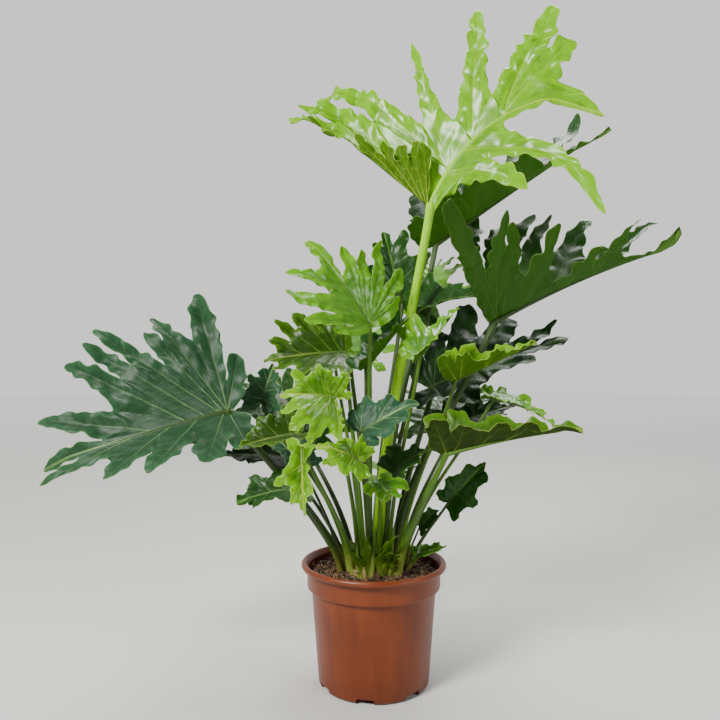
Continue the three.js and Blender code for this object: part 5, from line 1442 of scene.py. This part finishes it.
# %% Make the leaves
LEAF_SEED = 100
PALENESS = {"leaf_top": 1.0, "leaf_star": 0.85, "leaf_left_olive": 0.2, "leaf_curled_lime": 0.55,
            "leaf_centre_lime": 0.5, "leaf_lime_tail": 0.6, "leaf_small_lime": 0.8}
OLD_TONES = ("dark", "deep", "blue")
RIB_AHEAD = 0.2


def make_leaf(leaf, number):
    """One leaf: blade, stalk and midrib in one mesh at its node's place. The midrib's map starts
    RIB_AHEAD metres further along, so it keeps clear of the stalk's pale foot."""
    draw = np.random.default_rng(LEAF_SEED + number)
    vary = PALENESS.get(leaf["name"], draw.uniform(0, 1))
    points, faces, maps, upper = blade_sheet(leaf, draw)
    marks = {"upper": upper, "vary": np.full(faces.shape, vary)}
    parts = [(points, faces, maps, marks, 0), tube_part(stalk_tube(leaf), 1, vary),
             tube_part(rib_tube(leaf), 1, vary)]
    points, faces, maps, marks, index = join(*parts)
    rib_start = len(parts[0][1]) + len(parts[1][1])
    maps["vein"][rib_start:, :, 0] += RIB_AHEAD
    kind = "bright" if leaf["name"] == "leaf_top" else "dark" if leaf["tone"] in OLD_TONES else "fresh"
    finishes = [blades[leaf["tone"]], stalks[kind]]
    piece = make_piece(leaf["name"] + "_fine", points, faces, maps, marks, finishes, index)
    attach(piece, "root")
    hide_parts(leaf["name"])
    "leaf_" + leaf["tone"]
    return piece


leaf_pieces = [make_leaf(leaf, number) for number, leaf in enumerate(LEAVES)]
counts = [len(piece.data.polygons) for piece in leaf_pieces]
print("leaf triangles:", sum(counts), "largest:", max(counts))

# %% [markdown]
# ## Round solids
# The pot and the potting mix are both round. Each is a grid of points: one profile after another
# round the axis. The first and last point of every profile lie on the axis, where they become one,
# so that the poles are closed.


# %% Round solids
def plain_piece(name, points, faces, material):
    """A piece whose finish follows its place alone."""
    return make_piece(name, points, faces, {}, {}, [material])


def round_solid(grid):
    """Points and outward triangles of a grid (profile number, point on it, place), closed round the
    axis. Triangles that shrink to a line at the poles are left out."""
    around, rows = grid.shape[:2]
    ids = np.arange(around * rows).reshape(around, rows)
    ids[:, 0] = 0
    ids[:, -1] = rows - 1
    ids = np.concatenate([ids, ids[:1]])
    a, b, c, d = ids[:-1, :-1], ids[1:, :-1], ids[1:, 1:], ids[:-1, 1:]
    faces = np.stack([a, b, c, a, c, d], -1).reshape(-1, 3)
    used, faces = np.unique(faces[open_faces(faces)], return_inverse=True)
    return grid.reshape(-1, 3)[used], faces.reshape(-1, 3)


def turned(profile, around):
    """A profile (radius, height) turned about Z: radius times cosine and sine of each angle."""
    angle = np.arange(around) / around * 2 * np.pi
    ring = np.stack([np.cos(angle), np.sin(angle)], -1)
    flat = ring[:, None, :] * profile[None, :, :1]
    height = np.broadcast_to(profile[None, :, 1:], (around, len(profile), 1))
    return round_solid(np.concatenate([flat, height], -1))


cone = turned(np.array([(0.0, 0.0), (1.0, 0.0), (0.0, 1.0)]), 8)
print("triangles of a cone with eight sides:", len(cone[1]))

# %% [markdown]
# ## The pot
# The pot is moulded in one go: a plain wall, a wider band near the top, a rolled lip, and notches
# at the foot that let water out. A profile turned about the axis gives all of it but the notches,
# which are cut away with small boxes, as the mould's own inserts leave them.

# %% Pot
POT = {"height": 0.174, "lip": 0.105, "band": 0.0965, "step": 0.138, "top": 0.090, "foot": 0.080,
       "wall": 0.0022, "floor": 0.003}
CORNER = 0.0012


def round_corners(profile, radius, samples=5):
    """Each inner corner of a profile becomes a short curve that starts and ends radius from it."""
    points = [profile[0]]
    for before, corner, after in zip(profile[:-2], profile[1:-1], profile[2:]):
        into, out = corner - before, after - corner
        reach = min(radius, np.linalg.norm(into) * 0.45, np.linalg.norm(out) * 0.45)
        start, end = corner - unit(into) * reach, corner + unit(out) * reach
        for t in np.linspace(0, 1, samples):
            points.append((1 - t) ** 2 * start + 2 * (1 - t) * t * corner + t * t * end)
    return np.array([*points, profile[-1]])


def pot_profile():
    """Radius and height along the pot's wall: up the outside, over the lip and down the inside."""
    height, lip, band, step = (POT[k] for k in ("height", "lip", "band", "step"))
    top, foot, wall, floor = (POT[k] for k in ("top", "foot", "wall", "floor"))
    outside = [(0, 0), (foot - 0.0035, 0), (foot, 0.0035), (top, step - 0.004)]
    shoulder = [(top + 0.0004, step - 0.001), (band - 0.0012, step), (band, step + 0.002),
                (band, height - 0.0115), (band + 0.001, height - 0.0085)]
    rim = [(lip - 0.0016, height - 0.0082), (lip, height - 0.0062), (lip, height - 0.0028),
           (lip - 0.002, height - 0.0003), (lip - 0.0052, height), (lip - 0.0075, height - 0.0018)]
    inside = [(band - wall, height - 0.0075), (band - wall, step + 0.006), (top - wall, step - 0.002),
              (foot - wall, floor), (0, floor)]
    return round_corners(np.array([*outside, *shoulder, *rim, *inside], float), CORNER)


pot_line = pot_profile()
print("points on the pot's profile:", len(pot_line), "widest at", round(pot_line[:, 0].max(), 4), "m")

# %% [markdown]
# ## Terracotta plastic
# The pot is plastic in the colour of fired clay: satin, with faint lines where it flowed up the
# mould, a cloudy darkening towards the bottom, and small pale scuffs that run round it.


# %% Pot finish
def pot_material():
    """Two clay shades mixed by cloud and flow, darker below 5 cm, paler where scuff is 1."""
    s = Shader("pot terracotta")
    spot = s.place()
    flow = s.noise(s.scaled(spot, (60.0, 60.0, 3.0)), 1.0, 3.0)
    cloud = s.noise(spot, 14.0, 3.0)
    grain = s.noise(spot, 900.0, 2.0)
    height = s.split(spot)[2]
    scuff = (s.noise(s.scaled(spot, (90.0, 90.0, 420.0)), 1.0, 4.0) - 0.7).step(0.0, 0.06)
    body = s.mix((cloud * 0.6 + flow * 0.5).step(0.35, 0.75), colour("5c250a"), colour("70320f"))
    # Darker in clouds towards the bottom, over the lowest 5 cm.
    low = 1.0 - height.step(0.0, 0.05)
    body = s.mix(low * cloud * 0.35, body, colour("481c0b"))
    body = s.mix(scuff * 0.12, body, colour("b07a58"))
    normal = s.bump(grain * 0.25 + flow * 0.5 + scuff * 0.3, 0.0004, 0.5)
    rough = (flow * 0.18 + cloud * 0.16 + scuff * 0.25).between(0.26, 1.0)
    return s.finish(s.add("BsdfPrincipled", None, {
        "Base Color": body, "Roughness": rough, "Normal": normal, "Specular IOR Level": 0.35,
    }))


terracotta = pot_material()
print("pot finish:", terracotta.name)


# %% Make the pot
NOTCHES = 7
NOTCH_FIRST = math.radians(-99.5)
AROUND_POT = 224
SHARP = math.radians(32)


def cutter_box(angle):
    """A box across the foot of the wall, with its upper corners cut off, turned about Z."""
    half, rise, slope = 0.0125, 0.008, 0.002
    face = np.array([(-half, -0.004), (half, -0.004), (half, rise - slope), (half - slope, rise),
                     (slope - half, rise), (-half, rise - slope)])
    near, far = POT["foot"] - 0.011, POT["foot"] + 0.012
    points = np.array([(r, u, z) for r in (near, far) for u, z in face])
    c, s = math.cos(angle), math.sin(angle)
    turn = np.array([[c, s, 0], [-s, c, 0], [0, 0, 1]])
    caps = [(0, k + 1, k) for k in range(1, 5)] + [(6, k + 6, k + 7) for k in range(1, 5)]
    sides = [t for k in range(6) for n in [(k + 1) % 6] for t in ((k, n, n + 6), (k, n + 6, k + 6))]
    return points @ turn, np.array(caps + sides)


def cut_notches(pot):
    """Takes the boxes away from the pot with one Boolean, and keeps the result as its mesh."""
    boxes = [cutter_box(NOTCH_FIRST + k * 2 * np.pi / NOTCHES) for k in range(NOTCHES)]
    count = len(boxes[0][0])
    points = np.concatenate([box[0] for box in boxes])
    faces = np.concatenate([box[1] + k * count for k, box in enumerate(boxes)])
    cutter = plain_piece("notch_cutter", points, faces, pot.data.materials[0])
    cut = pot.modifiers.new("notches", "BOOLEAN")
    cut.operation = "DIFFERENCE"
    cut.solver = "EXACT"
    cut.object = cutter
    bpy.context.view_layer.update()
    result = bpy.data.meshes.new_from_object(pot.evaluated_get(bpy.context.evaluated_depsgraph_get()))
    pot.modifiers.clear()
    pot.data = result
    bpy.data.objects.remove(cutter)


def make_pot():
    """The turned pot with its notches cut away, smooth but for its sharp edges."""
    pot = plain_piece("pot_fine", *turned(pot_line, AROUND_POT), terracotta)
    cut_notches(pot)
    pot.data.shade_smooth()
    pot.data.set_sharp_from_angle(angle=SHARP)
    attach(pot, "root")
    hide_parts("pot")
    return pot


pot = make_pot()
print("pot faces:", len(pot.data.polygons))

# %% [markdown]
# ## The potting mix
# Peat settles into an uneven crumbly surface, and bits of bark and straw lie on it. The surface is a
# disc whose height is a sum of many seeded waves. On it lie crumbs, each a small rough lump, and
# fibres, each a thin bent strip.

# %% Soil finish
def soil_material(name, dark, light, rough):
    """Crumbly matt stuff: two shades in fine grains, with a rough relief."""
    s = Shader(name)
    spot = s.place()
    grain = s.noise(spot, 320.0, 5.0)
    lump = s.noise(spot, 90.0, 3.0)
    cell = s.add("TexVoronoi", None, {"Vector": spot, "Scale": 260.0}, "Distance")
    body = s.mix((grain * 0.6 + lump * 0.5).step(0.35, 0.8), colour(dark), colour(light))
    normal = s.bump(grain * 0.8 + cell * 0.5, 0.0022, 0.9)
    skin = s.add("BsdfPrincipled", None, {
        "Base Color": body, "Roughness": grain.between(rough, 1.0), "Normal": normal,
    })
    return s.finish(skin)


soil_dark = soil_material("soil dark", "23160e", "4b3423", 0.75)
print("soil finish:", soil_dark.name)


# %% Soil surface
SOIL_LEVEL = 0.158
SOIL_EDGE = 0.0928
SOIL_RINGS = 66
SOIL_AROUND = 200
SOIL_WAVES = 46
POT_INSIDE = [(0.0, 0.008), (0.0772, 0.008), (0.0868, 0.130)]


def soil_height(x, y):
    """The heap at the crown, and lumps as a sum of seeded waves of shrinking length and height."""
    draw = np.random.default_rng(5)
    z = SOIL_LEVEL + 0.004 * np.exp(-((x + 0.006) ** 2 + y ** 2) / 0.0026)
    for k in range(SOIL_WAVES):
        angle = draw.uniform(0, 2 * np.pi)
        wave = 2 * np.pi / (0.034 * 0.945 ** k)
        across = x * np.cos(angle) + y * np.sin(angle)
        z = z + 0.00135 * 0.955 ** k * np.sin(wave * across + draw.uniform(0, 6.28))
    return z


def make_soil():
    """A disc with that height, a little lower at the wall, closed downwards along the pot's inside."""
    rings = np.concatenate([[0], np.linspace(0.002, SOIL_EDGE, SOIL_RINGS)])[::-1]
    angle = (np.arange(SOIL_AROUND) / SOIL_AROUND * 2 * np.pi)[:, None]
    x, y = rings * np.cos(angle), rings * np.sin(angle)
    z = soil_height(x, y) - 0.0035 * s_step((np.hypot(x, y) - 0.082) / 0.01)
    r, low = np.array(POT_INSIDE).T
    below = np.stack(np.broadcast_arrays(r * np.cos(angle), r * np.sin(angle), low), -1)
    grid = np.concatenate([below, np.stack([x, y, z], -1)], 1)
    soil = plain_piece("soil_fine", *round_solid(grid), soil_dark)
    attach(soil, "root")
    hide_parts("soil")
    return soil


print("soil triangles:", len(make_soil().data.polygons))

# %% [markdown]
# ## Crumbs and fibres
# A crumb is a block whose eight corners are pushed about, so no two are alike. A fibre is a bent
# path with three sides. Each kind is one piece: the arrays hold all of its crumbs or fibres at
# once, so hundreds cost no more lines than one.

# %% Crumbs
LITTER_REACH = 0.088


def scatter(count, draw):
    """Seeded places on the soil: the radius follows the root of an even draw, so they spread evenly."""
    r = LITTER_REACH * np.sqrt(draw.uniform(0.01, 1, count))
    a = draw.uniform(0, 2 * np.pi, count)
    return r * np.cos(a), r * np.sin(a)


def make_crumbs(name, count, sizes, material, draw):
    """Rough lumps: an eight-cornered block with each corner pushed about, flattened and turned."""
    corners = np.array([(x, y, z) for z in (-1, 1) for y in (-1, 1) for x in (-1, 1)], float) * 0.5
    box = np.array([(0, 2, 1), (1, 2, 3), (4, 5, 6), (5, 7, 6), (0, 1, 4), (1, 5, 4),
                    (2, 6, 3), (3, 6, 7), (0, 4, 2), (2, 4, 6), (1, 3, 5), (3, 7, 5)])
    x, y = scatter(count, draw)
    flat = draw.uniform([0.8, 0.5, 0.3], [1.6, 1.0, 0.7], (count, 1, 3))
    size = draw.uniform(sizes[0], sizes[1], (count, 1, 1)) * flat
    shape = (corners + draw.normal(0, 0.13, (count, 8, 3))) * size
    turn = draw.uniform(0, 2 * np.pi, (count, 1))
    tilt = draw.normal(0, 0.3, (count, 1))
    c, s = np.cos(turn), np.sin(turn)
    px, py = shape[..., 0] * c - shape[..., 1] * s, shape[..., 0] * s + shape[..., 1] * c
    pz = shape[..., 2] + px * np.sin(tilt)
    points = np.stack([px + x[:, None], py + y[:, None], pz + soil_height(x, y)[:, None] + 0.0004], -1)
    faces = box[None] + 8 * np.arange(count)[:, None, None]
    piece = plain_piece(name, points.reshape(-1, 3), faces.reshape(-1, 3), material)
    piece.data.shade_flat()
    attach(piece, "root")
    print(name, "triangles:", len(faces.reshape(-1, 3)))


bark = soil_material("bark bits", "3a2415", "7a5636", 0.7)
make_crumbs("soil_crumbs", 1500, (0.0015, 0.0045), soil_dark, np.random.default_rng(21))
make_crumbs("bark_bits", 420, (0.0025, 0.007), bark, np.random.default_rng(22))


# %% Fibres
FIBRE_STEPS = 9
FIBRE_REACH = 0.0905


def make_fibres(name, count, lengths, width, material, draw):
    """Thin bent strips of three sides that lie on the soil and rise a little at one end."""
    x, y = scatter(count, draw)
    length = draw.uniform(lengths[0], lengths[1], count)
    heading, swing = draw.uniform(0, 2 * np.pi, count), draw.normal(0, 1.1, count)
    s = np.linspace(0, 1, FIBRE_STEPS)[None, :]
    angle = heading[:, None] + swing[:, None] * s + 0.5 * np.sin(s * 5 + heading[:, None])
    px = x[:, None] + np.cumsum(np.cos(angle), 1) * length[:, None] / FIBRE_STEPS
    py = y[:, None] + np.cumsum(np.sin(angle), 1) * length[:, None] / FIBRE_STEPS
    squeeze = np.minimum(1, FIBRE_REACH / np.maximum(np.hypot(px, py), 1e-6))
    px, py = px * squeeze, py * squeeze
    rise = np.abs(draw.normal(0, 0.003, count))[:, None] * s ** 2
    pz = soil_height(px, py) + 0.0009 + rise - 0.003 * s_step((np.hypot(px, py) - 0.084) / 0.008)
    centre = np.stack([px, py, pz], -1)
    side = np.stack([-np.sin(angle), np.cos(angle), 0 * angle], -1)
    taper = (width * draw.uniform(0.5, 1.4, count))[:, None, None] * (1 - 0.75 * (2 * s[..., None] - 1) ** 4)
    up = np.array([0, 0, 1.0])
    ring = np.stack([centre + side * taper, centre - side * taper, centre + up * taper * 0.9], 2)
    ids = np.arange(count * FIBRE_STEPS * 3).reshape(count, FIBRE_STEPS, 3)
    faces = []
    for k in range(3):
        n = (k + 1) % 3
        a, b, c, d = ids[:, :-1, k], ids[:, 1:, k], ids[:, 1:, n], ids[:, :-1, n]
        faces.append(np.stack([a, c, b, a, d, c], -1).reshape(-1, 3))
    faces.append(np.stack([ids[:, 0, 0], ids[:, 0, 2], ids[:, 0, 1]], -1))
    faces.append(np.stack([ids[:, -1, 0], ids[:, -1, 1], ids[:, -1, 2]], -1))
    faces = np.concatenate(faces)[:, ::-1]
    piece = plain_piece(name, ring.reshape(-1, 3), faces, material)
    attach(piece, "root")
    print(name, "triangles:", len(faces))


straw = soil_material("straw fibres", "7b623c", "c2a673", 0.6)
make_fibres("soil_fibres", 420, (0.012, 0.045), 0.00035, straw, np.random.default_rng(23))
make_fibres("root_fibres", 320, (0.010, 0.030), 0.00045, bark, np.random.default_rng(24))

# %% [markdown]
# ## Shoots in the crown
# New leaves stand rolled up like spears between the stalks, and the stub of an old leaf has dried to
# straw. Each is a tapered tube.


# %% Shoots
def make_shoot(shoot, material):
    """A spear on a straight line from foot to top: full at the foot, slim at the tip."""
    foot = np.array([*shoot["foot"], CROWN]) * MM
    top = np.array(shoot["top"], float) * MM
    s = np.linspace(0, 1, 30)
    path = foot + (top - foot) * s[:, None]
    path = np.concatenate([foot + np.array([[0, 0, -ROOT_DEPTH], [0, 0, -0.5 * ROOT_DEPTH]]), path])
    s = np.concatenate([[0, 0], s])
    radii = shoot["radius"] * MM * np.interp(s, [0, 0.5, 0.85, 1], [1, 0.85, 0.5, 0.15])
    spear = closed_tube(path, radii, np.array([0, 1.0, 0]), 14, channel=0.3)
    points, faces, maps, marks, _ = tube_part(spear, 0, 0.5)
    piece = make_piece(shoot["name"] + "_fine", points, faces, maps, marks, [material])
    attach(piece, "root")
    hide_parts(shoot["name"])
    print(shoot["name"], "stands", shoot["top"][2], "mm high")


dry_stub = stalk_material("dry stub", ("9a8350", "cdbb84", "b79c62"))
for shoot in SHOOTS:
    make_shoot(shoot, dry_stub if shoot["tone"] == "straw" else stalks["fresh"])

# %% [markdown]
# ## Sheaths at the crown
# Every young leaf leaves the thin sheath behind that had wrapped it. Old and new sheaths crowd round
# the foot of the stalks, curl and tear. One is a strip whose width tapers to a point, wrapped part
# of the way round its own axis, leaning outwards and waved along its margin.


# %% One sheath
SHEATH = 0.0007
SHEATH_FOOT = np.array([-0.004, -0.018, 0.156])
FOOT_RING = np.array([0.034, 0.028, 0])


def sheath(draw, low, high):
    """Skin points of one sheath as a grid of columns along it, with its map. Across the strip they
    follow an arc (sine and cosine of v times wrap), and the lean grows with the square of u."""
    u, v = np.meshgrid(np.linspace(0, 1, 40), np.linspace(-1, 1, 13), indexing="ij")
    angle = draw.uniform(-2.7, -0.4)
    out = np.array([math.cos(angle), math.sin(angle), 0])
    side = np.array([-out[1], out[0], 0])
    height = draw.uniform(low, high)
    lean = draw.uniform(-0.1, 0.7)
    swing = draw.normal(0, 0.4)
    notched = 0.85 + 0.3 * np.sin(u * 13 + draw.uniform(0, 6))
    half = draw.uniform(0.007, 0.0125) * (1 - u ** 2.6) * notched
    wrap = draw.uniform(0.7, 1.5) * (1 - 0.5 * u)
    across = half * np.sin(v * wrap) / np.sin(wrap) + swing * height * u ** 2
    depth = -half * (1 - np.cos(v * wrap)) * 1.2 + lean * height * u ** 2
    depth = depth + 0.0045 * u * abs(v) ** 2 * np.sin(u * draw.uniform(14, 26) + 2 * v)
    foot = SHEATH_FOOT + out * FOOT_RING * draw.uniform(0.75, 1.1)
    rise = height * (u - 0.25 * u ** 3 * abs(draw.normal(0, 1)))
    points = foot + across[..., None] * side + depth[..., None] * out + rise[..., None] * [0, 0, 1.0]
    return points, np.stack([u * height + 0.035, v * 0.5], -1)


print("points on one sheath:", sheath(np.random.default_rng(1), 0.03, 0.05)[0].shape[:2])


# %% All sheaths
def make_sheaths(name, count, low, high, material, draw):
    """All sheaths of one colour, each with two skins and closed along its margin."""
    points, faces, maps, start = [], [], [], 0
    for _ in range(count):
        skin, marks = sheath(draw, low, high)
        columns, rows = skin.shape[:2]
        normal = np.cross(np.gradient(skin, axis=0), np.gradient(skin, axis=1))
        normal = normal / np.maximum(np.linalg.norm(normal, axis=-1, keepdims=True), 1e-12)
        size = columns * rows
        front = grid_faces(columns, rows)
        ids = np.arange(size).reshape(columns, rows)
        rim = np.concatenate([ids[:, 0], ids[-1, 1:], ids[-2::-1, -1], ids[0, -2::-1]])
        a, b = rim[:-1], rim[1:]
        edge = [np.stack([a, b, b + size], -1), np.stack([a, b + size, a + size], -1)]
        tri = np.concatenate([front, front[:, ::-1] + size, *edge])
        sides = np.stack([skin - normal * (SHEATH / 2), skin + normal * (SHEATH / 2)])
        points.append(sides.reshape(-1, 3))
        maps.append(np.concatenate([marks.reshape(-1, 2)] * 2)[tri])
        faces.append(tri + start)
        start += 2 * size
    faces, maps = np.concatenate(faces), np.concatenate(maps)
    marks = {"vary": np.full(faces.shape, 0.7)}
    piece = make_piece(name, np.concatenate(points), faces, {"vein": maps}, marks, [material])
    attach(piece, "root")
    print(name, "triangles:", len(faces))


make_sheaths("green_sheaths", 16, 0.03, 0.085, stalks["fresh"], np.random.default_rng(31))
make_sheaths("dry_sheaths", 4, 0.012, 0.03, dry_stub, np.random.default_rng(32))

# %% [markdown]
# ## Floor
# A wide pale floor, very slightly uneven in tone, catches the soft shadow. Its colour is painted
# paler with the distance, and far behind the plant a painted glow lights it a little, so that it
# runs on into the pale wall.


# %% Floor
FLOOR_SIDES = 64
FLOOR_RADIUS = 9


def floor_material():
    """Pale grey with faint clouds, painted lighter with the distance, and a painted glow rising behind."""
    s = Shader("pale floor")
    spot = s.place()
    cloud = s.noise(spot, 1.3, 3.0)
    x, y, _ = s.split(spot)
    # Painted light: the colour turns paler far from the plant, where the lamps light the floor less.
    far = (x * x + y * y).math("SQRT").step(0.6, 4.0)
    body = s.mix(cloud, colour("b9b9b6"), colour("c4c4c1"))
    body = s.mix(far, body, colour("f2f2f0"))
    # Painted light: an emitted glow that rises behind the plant, though the floor is no lamp.
    painted_glow = s.mix(y.step(0.8, 5.5), colour("000000"), (0.45, 0.45, 0.45, 1.0))
    return s.finish(s.add("BsdfPrincipled", None, {
        "Base Color": body, "Roughness": 0.85, "Emission Color": painted_glow, "Emission Strength": 1.0,
    }))


def make_floor():
    """A flat disc far wider than the view, at the height on which the pot stands."""
    side = np.arange(FLOOR_SIDES)
    angle = side / FLOOR_SIDES * 2 * np.pi
    ring = np.stack([FLOOR_RADIUS * np.cos(angle), FLOOR_RADIUS * np.sin(angle), 0 * angle], -1)
    faces = np.stack([0 * side, side + 1, (side + 1) % FLOOR_SIDES + 1], -1)
    floor = plain_piece("floor", np.concatenate([[[0, 0, 0]], ring]), faces, floor_material())
    print("floor radius:", FLOOR_RADIUS, "m")


make_floor()
